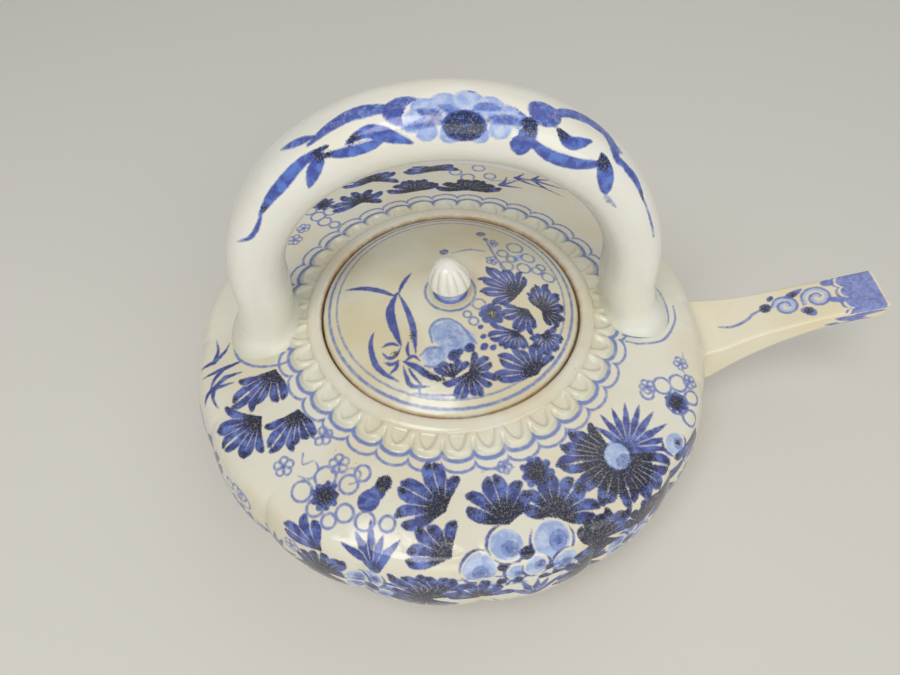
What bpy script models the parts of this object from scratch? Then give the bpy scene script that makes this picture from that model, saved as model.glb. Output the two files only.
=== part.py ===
"""Glazed teapot with a fixed overhead handle, as the clay pieces that a potter lutes together.

Sizes are in millimetres, and MM turns them into Blender's metres. Every piece is laid out round the
pot's own upright axis, with the spout along +X and the table at z = 0. One empty then carries them
all, so that the origin is under the middle of the whole pot, spout included.
"""

import math

import bpy
import bmesh
import numpy as np
from mathutils import Vector

MM = 0.001
GAP = 0.3                  # left between two luted pieces, so that their solids never touch

# Body: a lobed bowl under a low dome of a shoulder.
BODY_R = 78.4              # widest radius of the lobes
WIDEST_Z = 28.5
FLOOR_R = 50.0             # flat underside
FOOT_HEIGHT = 4.7
FOLD_R = 74.5              # where the side turns over into the shoulder
FOLD_Z = 44.0
FOLD_ROUND = 3.0           # how far the rounding of the fold reaches over the shoulder
SHOULDER_RISE = 8.5        # height of the shoulder's dome over the fold, if it went on to the axis
WALL = 3.5
FLOOR_THICK = 4.0
SEAM_DROP = 1.0            # the shoulder is luted on this far under the fold
LOBES = 16
LOBE_PHASE_DEG = 2.0       # bearing of one of the grooves between the lobes
GROOVE_DEPTH = 1.3
GROOVE_START_Z = 10.0      # the grooves run out towards the floor
GROOVE_FULL_Z = 20.0

# Foot ring.
FOOT_OUTER_R = 49.5
FOOT_INNER_R = 45.5
FOOT_CHAMFER = 0.8

# Lid.
LID_R = 37.4
LID_CLEARANCE = 0.5        # between the lid's rim and the seat's wall
LID_RIM_THICK = 3.0
LID_RISE = 7.2             # from the rim's top edge to the crown
LID_CROWN_POWER = 2.6      # above 2, so the dome is flatter on top than a parabola
LID_CROWN_THICK = 5.0
LID_EDGE_ROUND = 0.9
FLANGE_CLEARANCE = 0.6     # between the flange and the mouth
FLANGE_THICK = 3.0
FLANGE_REACH = 5.5         # below the ledge

# Seat of the lid, and the ring of small petals round it.
SEAT_WALL = 2.8
SEAT_STANDS = 1.87         # how far the wall stands over the shoulder
SEAT_DEPTH = 4.3           # from the wall's top to the ledge that the lid's rim rests on
LEDGE_WIDTH = 6.9
LEDGE_THICK = 2.7
PETAL_LENGTH = 7.3
PETAL_NOTCH = 1.2          # depth of the notch between two petals
PETAL_COUNT = 36
PETAL_THICK = 1.6          # at the seat
PETAL_EDGE = 0.7           # at the tips

# Knob: a fluted bud on a short stem.
STEM_FOOT_R = 4.9
STEM_NECK_R = 4.1
STEM_HEIGHT = 2.7
BUD_R = 6.1
BUD_HEIGHT = 8.7

# Handle: a strap with rounded edges, in the XZ plane. Heights are over the shoulder's fold.
APEX_X = -2.0
APEX_RISE = 71.5           # centreline at the top of the arch
SPRING_LEFT = (-51.7, 22.4)    # x and height where the arch ends and the leg begins
SPRING_RIGHT = (50.0, 19.5)
SPLAY_LEFT = 3.5           # how far the leg moves out on its way to the shoulder
SPLAY_RIGHT = 6.5
SPLAY_POWER = 1.6
STRAP_HALF_WIDTH = 9.4     # along Y
STRAP_HALF_THICK = 7.4     # across the arch
STRAP_SQUARENESS = 2.4     # exponent of the superellipse section
STRAP_FOOT_RISE = 13.0     # the strap is luted on its two feet here
FOOT_FLARE = (2.6, 0.9, 0.25, 0.0)     # added half width of a foot, from the shoulder up
FOOT_LEVELS = (0.0, 0.22, 0.55, 1.0)   # heights of those sections, as shares of the foot

# Spout: stations from the body's side outwards, each an upright section.
SPOUT_ROOT_TOP_Z = 33.2
SPOUT_STATIONS = (   # reach, z of the flat top, height of the side, depth to the underside, half width
    (5.6, 35.3, 15.0, 22.6, 9.9),
    (14.6, 38.4, 11.5, 17.6, 8.2),
    (24.6, 41.7, 7.8, 13.2, 7.5),
    (35.6, 45.1, 5.6, 10.8, 7.0),
    (43.6, 47.4, 5.2, 10.3, 7.0),
    (51.6, 49.4, 5.2, 10.2, 7.1),
)
SPOUT_ROOT_SIDE = 17.8
SPOUT_ROOT_DEPTH = 24.8
SPOUT_ROOT_HALF = 11.3
SPOUT_WALL = 1.9
SPOUT_COVER = 1.8
SPOUT_KEEL = 0.55          # width of the flat underside, as a share of the spout's width
SPOUT_SECTION_PARTS = (4, 3, 2, 3, 4)    # points along side, bilge, keel, bilge, side
SPOUT_COVER_PARTS = 6
STRAINER_HOLE_R = 1.9
STRAINER_PITCH = 5.4
STRAINER_Z = 21.5

# Sizes that follow from those above.
SEAM_Z = FOLD_Z - SEAM_DROP
SEAT_INNER_R = LID_R + LID_CLEARANCE
SEAT_OUTER_R = SEAT_INNER_R + SEAT_WALL
MOUTH_R = SEAT_INNER_R - LEDGE_WIDTH
PETAL_R = SEAT_OUTER_R + GAP + PETAL_LENGTH
SEAT_TOP_Z = FOLD_Z + SHOULDER_RISE * (1.0 - ((SEAT_OUTER_R + GAP) / FOLD_R) ** 2) + SEAT_STANDS
LEDGE_Z = SEAT_TOP_Z - SEAT_DEPTH
APEX_Z = FOLD_Z + APEX_RISE
STRAP_FOOT_Z = FOLD_Z + STRAP_FOOT_RISE

STEPS = 3 * LOBES          # round the body: three to each lobe
LID_STEPS = 40
KNOB_STEPS = 24
CREAM = "E4E0D0"
BLUE = "5A6FB4"


# ---------------------------------------------------------------- shapes that several pieces share
def side_radius(z):
    """Outer radius of the lobed side: a quarter ellipse up to the widest height, then a parabola in."""
    floor_z = FOOT_HEIGHT + GAP
    low = np.clip((WIDEST_Z - z) / (WIDEST_Z - floor_z), 0.0, 1.0)
    high = np.clip((z - WIDEST_Z) / (FOLD_Z - WIDEST_Z), 0.0, 1.0)
    below = FLOOR_R + (BODY_R - FLOOR_R) * np.sqrt(1.0 - low ** 2)
    above = BODY_R - (BODY_R - FOLD_R) * high ** 2
    return np.where(z < WIDEST_Z, below, above)


def shoulder_z(r):
    """Height of the shoulder's top: a parabola that starts at the fold."""
    return FOLD_Z + SHOULDER_RISE * (1.0 - (r / FOLD_R) ** 2)


def crown_z(r):
    """Height of the lid's top: flat in the middle, and steeper towards the rim."""
    rim = LEDGE_Z + GAP + LID_RIM_THICK
    return rim + LID_RISE * (1.0 - (np.abs(r) / LID_R) ** LID_CROWN_POWER)


def lid_under_z(r):
    """Height of the lid's underside: flat on the ledge, and a shallow parabola inside the mouth."""
    crown = crown_z(0.0) - LID_CROWN_THICK
    seat = LEDGE_Z + GAP
    return seat + (crown - seat) * np.clip(1.0 - (r / MOUTH_R) ** 2, 0.0, 1.0)


def round_corner(start, corner, end, count):
    """Points of a quadratic curve from start to end that bends at the corner."""
    t = np.linspace(0.0, 1.0, count)[:, None]
    a, b, c = (np.array(point, float) for point in (start, corner, end))
    return [tuple(p) for p in (1 - t) ** 2 * a + 2 * t * (1 - t) * b + t ** 2 * c]


# ---------------------------------------------------------------- Blender helpers
def clear_scene():
    for obj in list(bpy.data.objects):
        bpy.data.objects.remove(obj, do_unlink=True)


def new_collection(name):
    collection = bpy.data.collections.new(name)
    bpy.context.scene.collection.children.link(collection)
    return collection


def glaze(name, colour, roughness):
    """A glazed clay: a Principled BSDF with the piece's colour, given as an sRGB hex value."""
    srgb = np.array([int(colour[i:i + 2], 16) / 255 for i in (0, 2, 4)])
    linear = np.where(srgb < 0.04045, srgb / 12.92, ((srgb + 0.055) / 1.055) ** 2.4)
    material = bpy.data.materials.new(name)
    material.use_nodes = True
    shader = material.node_tree.nodes["Principled BSDF"]
    shader.inputs["Base Color"].default_value = (*linear, 1.0)
    shader.inputs["Roughness"].default_value = roughness
    shader.inputs["Metallic"].default_value = 0.0
    return material


def add_object(name, mesh, collection, colour=CREAM, roughness=0.15):
    obj = bpy.data.objects.new(name, mesh)
    mesh.materials.append(glaze(name, colour, roughness))
    collection.objects.link(obj)
    return obj


def turned(name, profile, steps, collection, closed=True, **look):
    """A profile of (radius, z) points, turned round the axis by a Screw modifier."""
    points = [(r * MM, 0.0, z * MM) for r, z in profile]
    edges = [(i, i + 1) for i in range(len(points) - 1)]
    if closed:
        edges.append((len(points) - 1, 0))
    mesh = bpy.data.meshes.new(name)
    mesh.from_pydata(points, edges, [])
    obj = add_object(name, mesh, collection, **look)
    screw = obj.modifiers.new("turn", "SCREW")
    screw.axis = "Z"
    screw.steps = screw.render_steps = steps
    screw.use_merge_vertices = True
    screw.merge_threshold = 0.00001
    screw.use_smooth_shade = True
    return obj


def bake(obj):
    """Gives the object its evaluated mesh, so that its points can be moved."""
    depsgraph = bpy.context.evaluated_depsgraph_get()
    mesh = bpy.data.meshes.new_from_object(obj.evaluated_get(depsgraph))
    obj.modifiers.clear()
    obj.data = mesh
    return obj


def skin(name, corners, faces, collection, **look):
    """A mesh from points in millimetres, welded, with its faces turned outwards and its edges kept."""
    mesh = bpy.data.meshes.new(name)
    mesh.from_pydata((np.asarray(corners) * MM).tolist(), [], faces)
    shape = bmesh.new()
    shape.from_mesh(mesh)
    bmesh.ops.recalc_face_normals(shape, faces=shape.faces)
    shape.to_mesh(mesh)
    shape.free()
    mesh.shade_smooth()
    mesh.set_sharp_from_angle(angle=math.radians(40))
    return add_object(name, mesh, collection, **look)


def strips(rows, columns, wrap):
    """Quads of a grid of rows by columns, closed round the columns if wrap is set."""
    last = columns if wrap else columns - 1
    return [
        (i * columns + j, i * columns + (j + 1) % columns,
         (i + 1) * columns + (j + 1) % columns, (i + 1) * columns + j)
        for i in range(rows - 1) for j in range(last)
    ]


def loft(name, rings, collection, **look):
    """A solid through closed rings of points, each end closed by a fan round its middle."""
    rings = np.asarray(rings)
    rows, columns = rings.shape[:2]
    middles = rings[[0, -1]].mean(axis=1)
    corners = np.concatenate([rings.reshape(-1, 3), middles])
    faces = strips(rows, columns, wrap=True)
    for end, middle in ((0, rows * columns), (rows - 1, rows * columns + 1)):
        first = end * columns
        faces += [(first + j, first + (j + 1) % columns, middle) for j in range(columns)]
    return skin(name, corners, faces, collection, **look)


def trough(name, outer, inner, collection, **look):
    """An open channel: an outer and an inner sheet of matching points, joined round their edges."""
    rows, columns = outer.shape[:2]
    corners = np.concatenate([outer.reshape(-1, 3), inner.reshape(-1, 3)])
    offset = rows * columns
    sheet = strips(rows, columns, wrap=False)
    faces = sheet + [tuple(offset + k for k in face) for face in sheet]
    for end in (0, (rows - 1) * columns):
        faces += [(end + j, end + j + 1, offset + end + j + 1, offset + end + j)
                  for j in range(columns - 1)]
    for lip in (0, columns - 1):
        faces += [(i * columns + lip, (i + 1) * columns + lip,
                   offset + (i + 1) * columns + lip, offset + i * columns + lip)
                  for i in range(rows - 1)]
    return skin(name, corners, faces, collection, **look)


# ---------------------------------------------------------------- pot
def press_grooves(bowl):
    """Presses the grooves between the lobes into the outside of the turned bowl."""
    points = np.empty(len(bowl.data.vertices) * 3, np.float32)
    bowl.data.vertices.foreach_get("co", points)
    points = points.reshape(-1, 3)
    radius = np.hypot(points[:, 0], points[:, 1])
    z = points[:, 2] / MM
    outside = radius / MM > side_radius(z) - WALL / 2
    lobe = 2 * math.pi / LOBES
    bearing = np.arctan2(points[:, 1], points[:, 0])
    off_groove = np.abs((bearing + lobe / 2) % lobe - lobe / 2)
    in_groove = off_groove < lobe / 8
    fade = np.clip((z - GROOVE_START_Z) / (GROOVE_FULL_Z - GROOVE_START_Z), 0.0, 1.0)
    press = np.where(outside & in_groove, GROOVE_DEPTH * fade * MM, 0.0)
    points[:, :2] *= (1 - press / np.maximum(radius, MM))[:, None]
    bowl.data.vertices.foreach_set("co", points.ravel())


def make_bowl(pieces, cutters):
    """Lobed side and floor in one piece, with the strainer's holes behind the spout."""
    floor_z = FOOT_HEIGHT + GAP
    rim_z = SEAM_Z - GAP
    up = [rim_z, 36.0, WIDEST_Z, 21.0, 14.5, 9.5, 6.4, floor_z]
    outer = [(float(side_radius(z)), z) for z in up]
    inner_floor = floor_z + FLOOR_THICK
    inner = []
    for z in (inner_floor, 10.4, 13.0, 17.5, 23.0, WIDEST_Z, 36.0, rim_z):
        share = max(0.0, (WIDEST_Z - z) / (WIDEST_Z - inner_floor))
        inset = float(side_radius(z)) - WALL
        low = FLOOR_R + (BODY_R - WALL - FLOOR_R) * math.sqrt(1.0 - share ** 2)
        inner.append((low if z < WIDEST_Z else inset, z))
    profile = [(0.0, inner_floor)] + inner + outer + [(0.0, floor_z)]
    bowl = bake(turned("body_bowl", profile, STEPS, pieces, closed=False))
    press_grooves(bowl)
    bowl.rotation_euler.z = math.radians(LOBE_PHASE_DEG)
    for number, (row, place) in enumerate(
            [(-1, -0.5), (-1, 0.5), (0, -1), (0, 0), (0, 1), (1, -0.5), (1, 0.5)]):
        bpy.ops.mesh.primitive_cylinder_add(
            vertices=8, radius=STRAINER_HOLE_R * MM, depth=4 * WALL * MM,
            location=((float(side_radius(STRAINER_Z)) - WALL) * MM, place * STRAINER_PITCH * MM,
                      (STRAINER_Z + row * STRAINER_PITCH) * MM),
            rotation=(0.0, math.pi / 2, 0.0))
        cutter = bpy.context.object
        cutter.name = f"strainer_drill_{number}"
        cutter.display_type = "WIRE"
        cutter.hide_render = True
        for home in list(cutter.users_collection):
            home.objects.unlink(cutter)
        cutters.objects.link(cutter)
        cut = bowl.modifiers.new(cutter.name, "BOOLEAN")
        cut.operation = "DIFFERENCE"
        cut.solver = "EXACT"
        cut.object = cutter


def make_shoulder(pieces):
    """The low dome over the bowl, with the hole that takes the lid's seat."""
    hole_r = SEAT_OUTER_R + GAP
    seam_r = float(side_radius(SEAM_Z))
    inner_seam_r = seam_r - WALL
    fold_end = FOLD_R - FOLD_ROUND
    top = [(r, shoulder_z(r)) for r in np.linspace(hole_r, fold_end, 6)[:-1]]
    fold = round_corner((fold_end, shoulder_z(fold_end)), (FOLD_R, FOLD_Z),
                        (seam_r, SEAM_Z), 4)
    under = [(r, max(SEAM_Z, shoulder_z(r) - WALL))
             for r in np.linspace(inner_seam_r, hole_r, 6)]
    turned("body_shoulder", top + fold + under, STEPS, pieces)


def make_foot_ring(pieces):
    """The ring that the pot stands on, with its two lower edges chamfered."""
    inner, outer, edge = FOOT_INNER_R, FOOT_OUTER_R, FOOT_CHAMFER
    profile = [(inner, FOOT_HEIGHT), (outer, FOOT_HEIGHT), (outer, edge), (outer - edge, 0.0),
               (inner + edge, 0.0), (inner, edge)]
    turned("foot_ring", profile, STEPS, pieces, colour="D8D2C2", roughness=0.6)


def make_lid_seat(pieces):
    """The wall round the lid's rim and the ledge under it."""
    rounding = SEAT_WALL * 0.3
    bottom_z = LEDGE_Z - LEDGE_THICK
    profile = [(SEAT_INNER_R, SEAT_TOP_Z - rounding), (SEAT_INNER_R + rounding, SEAT_TOP_Z),
               (SEAT_OUTER_R - rounding, SEAT_TOP_Z), (SEAT_OUTER_R, SEAT_TOP_Z - rounding),
               (SEAT_OUTER_R, bottom_z), (MOUTH_R, bottom_z), (MOUTH_R, LEDGE_Z),
               (SEAT_INNER_R, LEDGE_Z)]
    turned("lid_seat", profile, LID_STEPS, pieces)


def trim_round_foot(collar, side, cutters):
    """Cuts the petals back to the gap round a foot of the handle."""
    reach = FOOT_FLARE[0] + GAP
    across, along = strap_section(STRAP_HALF_THICK + reach, STRAP_HALF_WIDTH + reach)
    x = leg_x(side, FOLD_Z) + side * across
    rings = [np.stack([x, along, np.full_like(x, z)], axis=1)
             for z in (FOLD_Z, SEAT_TOP_Z + PETAL_THICK)]
    cutter = loft(f"foot_trim_{side}", rings, cutters)
    cutter.display_type = "WIRE"
    cutter.hide_render = True
    cut = collar.modifiers.new(cutter.name, "BOOLEAN")
    cut.operation = "DIFFERENCE"
    cut.solver = "EXACT"
    cut.object = cutter


def make_petal_collar(pieces, cutters):
    """A thin ring of petals on the shoulder, scalloped at its edge and trimmed round the handle's feet."""
    inner_r = SEAT_OUTER_R + GAP
    middle_r = (inner_r + PETAL_R) / 2
    profile = [(inner_r, shoulder_z(inner_r) + GAP + PETAL_THICK),
               (middle_r, shoulder_z(middle_r) + GAP + PETAL_THICK),
               (PETAL_R, shoulder_z(PETAL_R) + GAP + PETAL_EDGE),
               (PETAL_R, shoulder_z(PETAL_R) + GAP),
               (middle_r, shoulder_z(middle_r) + GAP),
               (inner_r, shoulder_z(inner_r) + GAP)]
    collar = bake(turned("petal_collar", profile, PETAL_COUNT * 3, pieces))
    petal = 2 * math.pi / PETAL_COUNT
    for vertex in collar.data.vertices:
        radius = math.hypot(vertex.co.x, vertex.co.y)
        bearing = math.atan2(vertex.co.y, vertex.co.x)
        off_notch = abs((bearing + petal / 2) % petal - petal / 2)
        if radius > middle_r * MM + PETAL_NOTCH * MM and off_notch < petal / 6:
            vertex.co.xy *= 1 - PETAL_NOTCH * MM / radius
    for side in (-1, 1):
        trim_round_foot(collar, side, cutters)


# ---------------------------------------------------------------- spout
def spout_stations():
    """Rows of x, top z, side height, depth and half width. The first row is the root."""
    root = (0.0, SPOUT_ROOT_TOP_Z, SPOUT_ROOT_SIDE, SPOUT_ROOT_DEPTH, SPOUT_ROOT_HALF)
    stations = np.array([root, *SPOUT_STATIONS])
    stations[:, 0] += BODY_R
    return stations


def against_body(ring):
    """Moves a section's points along X until they stand the gap away from the body's side."""
    ring[:, 0] = np.sqrt(side_radius(ring[:, 2]) ** 2 - ring[:, 1] ** 2) + GAP
    return ring


def divided(corners, parts):
    """A polyline with each of its legs cut into a number of equal parts."""
    points = [corners[0]]
    for (y0, z0), (y1, z1), count in zip(corners, corners[1:], parts):
        for k in range(1, count + 1):
            points.append((y0 + (y1 - y0) * k / count, z0 + (z1 - z0) * k / count))
    return points


def boat_section(top, side, depth, half, inset):
    """One side, bilge, keel, bilge and side of the channel, drawn in by the inset."""
    rim = top - SPOUT_COVER - GAP
    wide = half - inset
    keel = half * SPOUT_KEEL - inset / 2
    bottom = top - depth + inset
    corners = [(-wide, rim), (-wide, top - side), (-keel, bottom),
               (keel, bottom), (wide, top - side), (wide, rim)]
    return divided(corners, SPOUT_SECTION_PARTS)


def cover_section(top, half, drop):
    """The cover's face across the spout, at a drop under its top."""
    return divided([(-half, top - drop), (half, top - drop)], [SPOUT_COVER_PARTS])


def make_spout(pieces):
    """A boat-shaped channel, closed by a flat cover."""
    outer, inner, upper, lower = [], [], [], []
    for row, (x, top, side, depth, half) in enumerate(spout_stations()):
        for rings, section in ((outer, boat_section(top, side, depth, half, 0.0)),
                               (inner, boat_section(top, side, depth, half, SPOUT_WALL)),
                               (upper, cover_section(top, half, 0.0)),
                               (lower, cover_section(top, half, SPOUT_COVER))):
            ring = np.array([(x, y, z) for y, z in section])
            rings.append(against_body(ring) if row == 0 else ring)
    trough("spout_trough", np.array(outer), np.array(inner), pieces)
    trough("spout_cover", np.array(upper), np.array(lower), pieces)


# ---------------------------------------------------------------- handle
def leg_x(side, z):
    """Centre of a leg at a height. side is -1 for the left leg and 1 for the right leg."""
    spring_x, rise = SPRING_LEFT if side < 0 else SPRING_RIGHT
    splay = SPLAY_LEFT if side < 0 else SPLAY_RIGHT
    share = np.clip((FOLD_Z + rise - z) / rise, 0.0, 1.0)
    return spring_x + side * splay * share ** SPLAY_POWER


def arch_path():
    """Centreline of the strap, from the left foot over the top to the right foot."""
    path = []
    for side, (spring_x, rise) in ((-1, SPRING_LEFT), (1, SPRING_RIGHT)):
        spring_z = FOLD_Z + rise
        leg = [(float(leg_x(side, z)), z) for z in np.linspace(STRAP_FOOT_Z, spring_z, 4)[:-1]]
        turn = np.linspace(0.0, math.pi / 2, 13)
        arc = [(APEX_X + (spring_x - APEX_X) * math.cos(t),
                spring_z + (APEX_Z - spring_z) * math.sin(t)) for t in turn]
        half = leg + arc
        path += half if side < 0 else half[-2::-1]
    return np.array(path)


def strap_section(half_thick, half_width, count=16):
    """A superellipse: offsets across the arch and along Y."""
    turn = np.linspace(0.0, 2 * math.pi, count, endpoint=False)
    power = 2.0 / STRAP_SQUARENESS
    across = half_thick * np.sign(np.cos(turn)) * np.abs(np.cos(turn)) ** power
    along = half_width * np.sign(np.sin(turn)) * np.abs(np.sin(turn)) ** power
    return across, along


def make_handle(pieces):
    """The strap, and a flared foot under each end of it."""
    path = arch_path()
    tangent = np.gradient(path, axis=0)
    tangent[0] = tangent[-1] = (0.0, 1.0)
    tangent[-1] *= -1
    tangent /= np.linalg.norm(tangent, axis=1)[:, None]
    across, along = strap_section(STRAP_HALF_THICK, STRAP_HALF_WIDTH)
    rings = []
    for (x, z), (tx, tz) in zip(path, tangent):
        rings.append(np.stack([x - tz * across, along, z + tx * across], axis=1))
    loft("handle_strap", rings, pieces)
    for side, name in ((-1, "handle_foot_left"), (1, "handle_foot_right")):
        rings = []
        for level, flare in zip(FOOT_LEVELS, FOOT_FLARE):
            across, along = strap_section(STRAP_HALF_THICK + flare, STRAP_HALF_WIDTH + flare)
            x = leg_x(side, STRAP_FOOT_Z * level + FOLD_Z * (1 - level)) + side * across
            radius = np.hypot(x, along)
            ground = shoulder_z(radius) + GAP
            z = ground + (STRAP_FOOT_Z - GAP - ground) * level
            rings.append(np.stack([x, along, z], axis=1))
        loft(name, rings, pieces)


# ---------------------------------------------------------------- lid
def make_lid(pieces):
    """The domed lid, the flange under it that keeps it in the mouth, and its knob."""
    rim_top = LEDGE_Z + GAP + LID_RIM_THICK
    top = [(r, float(crown_z(r))) for r in (0.0, 9.0, 17.0, 24.0, 30.0, 34.0)]
    edge = round_corner((LID_R - LID_EDGE_ROUND, float(crown_z(LID_R - LID_EDGE_ROUND))),
                        (LID_R, rim_top), (LID_R, rim_top - LID_EDGE_ROUND), 3)
    under = [(LID_R, LEDGE_Z + GAP)]
    under += [(r, float(lid_under_z(r))) for r in (MOUTH_R, 26.0, 19.0, 10.0, 0.0)]
    turned("lid_dome", top + edge + under, LID_STEPS, pieces, closed=False)
    outer = MOUTH_R - FLANGE_CLEARANCE
    inner = outer - FLANGE_THICK
    flange_z = LEDGE_Z - FLANGE_REACH
    flange = [(inner, float(lid_under_z(inner)) - GAP), (outer, float(lid_under_z(outer)) - GAP),
              (outer, flange_z + 0.6), (outer - 0.6, flange_z), (inner, flange_z)]
    turned("lid_flange", flange, LID_STEPS, pieces)
    stem_z = float(crown_z(0.0)) + GAP
    neck_z = stem_z + STEM_HEIGHT
    stem = [(0.0, neck_z), (STEM_NECK_R, neck_z), (STEM_NECK_R, neck_z - 0.8),
            (STEM_FOOT_R, stem_z + 0.7), (STEM_FOOT_R, stem_z), (0.0, stem_z)]
    turned("knob_stem", stem, KNOB_STEPS, pieces, closed=False, colour=BLUE)
    bud_z = neck_z + GAP
    bud = [(BUD_R * share, bud_z + BUD_HEIGHT * height) for share, height in (
        (0.0, 1.0), (0.42, 0.96), (0.66, 0.83), (0.86, 0.55),
        (1.0, 0.22), (0.9, 0.06), (0.72, 0.0), (0.0, 0.0))]
    turned("knob_bud", bud, KNOB_STEPS, pieces, closed=False)


# ---------------------------------------------------------------- the whole pot
def centre_on_origin(pieces, cutters):
    """Parents every piece and cutter to one empty, and puts the whole pot's middle over the origin."""
    bpy.context.view_layer.update()
    depsgraph = bpy.context.evaluated_depsgraph_get()
    reach = []
    for obj in pieces.objects:
        corners = [obj.matrix_world @ Vector(c) for c in obj.evaluated_get(depsgraph).bound_box]
        reach += [corner.x for corner in corners]
    carrier = bpy.data.objects.new("teapot_axis", None)
    pieces.objects.link(carrier)
    for obj in [*pieces.objects, *cutters.objects]:
        if obj is not carrier:
            obj.parent = carrier
    carrier.location.x = -(min(reach) + max(reach)) / 2


def main():
    clear_scene()
    pieces = new_collection("teapot")
    cutters = new_collection("cutters")
    make_bowl(pieces, cutters)
    make_shoulder(pieces)
    make_foot_ring(pieces)
    make_lid_seat(pieces)
    make_petal_collar(pieces, cutters)
    make_spout(pieces)
    make_handle(pieces)
    make_lid(pieces)
    centre_on_origin(pieces, cutters)


main()
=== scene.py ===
# %% [markdown]
# # A painted porcelain teapot
# The pot is a low lobed bowl with a domed shoulder, a ring of small petals round the lid, an arched handle
# that is part of the pot, and a straight spout. All of it is white porcelain under a clear glaze, and the
# cobalt painting lies under that glaze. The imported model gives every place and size. Shapes here are worked
# out in millimetres about the pot's own upright axis, and turned to metres when they go into a mesh.

# %% Load the frame
import math

import bpy
import numpy as np
from mathutils import Matrix, Vector


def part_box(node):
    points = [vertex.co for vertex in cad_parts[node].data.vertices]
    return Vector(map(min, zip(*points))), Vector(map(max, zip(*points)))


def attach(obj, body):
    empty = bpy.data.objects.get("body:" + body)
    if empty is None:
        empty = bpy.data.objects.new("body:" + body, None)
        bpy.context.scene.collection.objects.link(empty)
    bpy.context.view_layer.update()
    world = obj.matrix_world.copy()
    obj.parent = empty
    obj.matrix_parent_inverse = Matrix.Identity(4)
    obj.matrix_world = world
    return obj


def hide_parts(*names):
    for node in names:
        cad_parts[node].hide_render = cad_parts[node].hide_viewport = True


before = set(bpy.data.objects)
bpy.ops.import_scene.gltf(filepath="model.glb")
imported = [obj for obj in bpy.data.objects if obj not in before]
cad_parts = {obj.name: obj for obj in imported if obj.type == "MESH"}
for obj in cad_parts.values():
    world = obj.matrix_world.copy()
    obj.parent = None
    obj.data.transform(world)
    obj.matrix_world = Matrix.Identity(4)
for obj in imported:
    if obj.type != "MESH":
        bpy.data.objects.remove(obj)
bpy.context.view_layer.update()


def cad(node):
    """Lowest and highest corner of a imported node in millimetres, from the pot's own axis."""
    low, high = (np.array(corner) * 1000.0 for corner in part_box(node))
    return low - AXIS, high - AXIS


bowl_low, bowl_high = (np.array(corner) * 1000.0 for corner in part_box("body_bowl"))
AXIS = np.array([(bowl_low[0] + bowl_high[0]) / 2, (bowl_low[1] + bowl_high[1]) / 2, 0.0])
print("the pot's axis stands at x =", round(AXIS[0], 2), "mm")

# %% [markdown]
# ## Camera, floor and light
# A studio table: a pale floor, one broad soft light high on the left in front, and an even pale
# surround that fills the shadows. The camera looks down at the pot from above the front, so that the
# painted shoulder and lid face it. Its place is kept as a position and three turns.

# %% Camera
CAMERA_PLACE = (-31.47, -125.73, 205.05)     # mm
CAMERA_YAW, CAMERA_TILT, CAMERA_ROLL = -2.90, 36.64, -0.866     # degrees
LENS, SENSOR = 27.02, 36.0     # mm


def turn(degrees, axis):
    """A rotation about one axis."""
    return Matrix.Rotation(math.radians(degrees), 3, axis)


camera_data = bpy.data.cameras.new("camera")
camera_data.lens = LENS
camera_data.sensor_width = SENSOR
camera_data.clip_start = 0.01
camera = bpy.data.objects.new("camera", camera_data)
bpy.context.scene.collection.objects.link(camera)
camera.rotation_mode = "QUATERNION"
looks = turn(CAMERA_YAW, "Z") @ turn(CAMERA_TILT, "X") @ turn(CAMERA_ROLL, "Z")
camera.rotation_quaternion = looks.to_quaternion()
camera.location = np.array(CAMERA_PLACE) / 1000.0
bpy.context.scene.camera = camera

# %% Light
SURROUND, SURROUND_STRENGTH = (0.94, 0.93, 0.90, 1.0), 0.33


def softbox(name, bearing, height, far, size, watts, colour=(1.0, 1.0, 1.0)):
    """An area light aimed at the lid: bearing and height in degrees, distance and size in metres."""
    aim = Vector((AXIS[0] / 1000.0, 0.0, 0.05))
    b, h = math.radians(bearing), math.radians(height)
    way = Vector((math.cos(b) * math.cos(h), math.sin(b) * math.cos(h), math.sin(h)))
    data = bpy.data.lights.new(name, "AREA")
    data.shape = "RECTANGLE"
    data.size, data.size_y = size
    data.energy = watts
    data.color = colour
    lamp = bpy.data.objects.new(name, data)
    bpy.context.scene.collection.objects.link(lamp)
    lamp.location = aim + way * far
    lamp.rotation_mode = "QUATERNION"
    lamp.rotation_quaternion = way.to_track_quat("Z", "Y")
    return lamp


softbox("window", -121.0, 62.0, 0.75, (0.30, 0.42), 2.35, (1.0, 0.995, 0.97))
softbox("ceiling", 60.0, 58.0, 1.3, (1.2, 1.2), 2.9)
softbox("room", -68.0, 24.0, 1.4, (1.6, 1.0), 8.5, (1.0, 1.0, 0.975))
world = bpy.data.worlds.new("surround")
world.use_nodes = True
background = world.node_tree.nodes["Background"]
background.inputs["Color"].default_value = SURROUND
background.inputs["Strength"].default_value = SURROUND_STRENGTH
bpy.context.scene.world = world
bpy.context.scene.view_settings.view_transform = "Standard"

# %% [markdown]
# ## Small tools
# Every surface here is a grid of points. One helper puts a grid into a mesh, closes it round the columns
# if asked, and stores any value that belongs to the points as a named attribute, which a material can read.
# Colours are written as the hex values that a painter would pick, and one function makes them linear.


# %% Colours and nodes
def linear(hex_value):
    """sRGB hex to linear light: each channel c is c/12.92 near black, else ((c + 0.055)/1.055)^2.4."""
    srgb = [int(hex_value[i:i + 2], 16) / 255 for i in (0, 2, 4)]
    return (*(c / 12.92 if c < 0.04045 else ((c + 0.055) / 1.055) ** 2.4 for c in srgb), 1.0)


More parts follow.
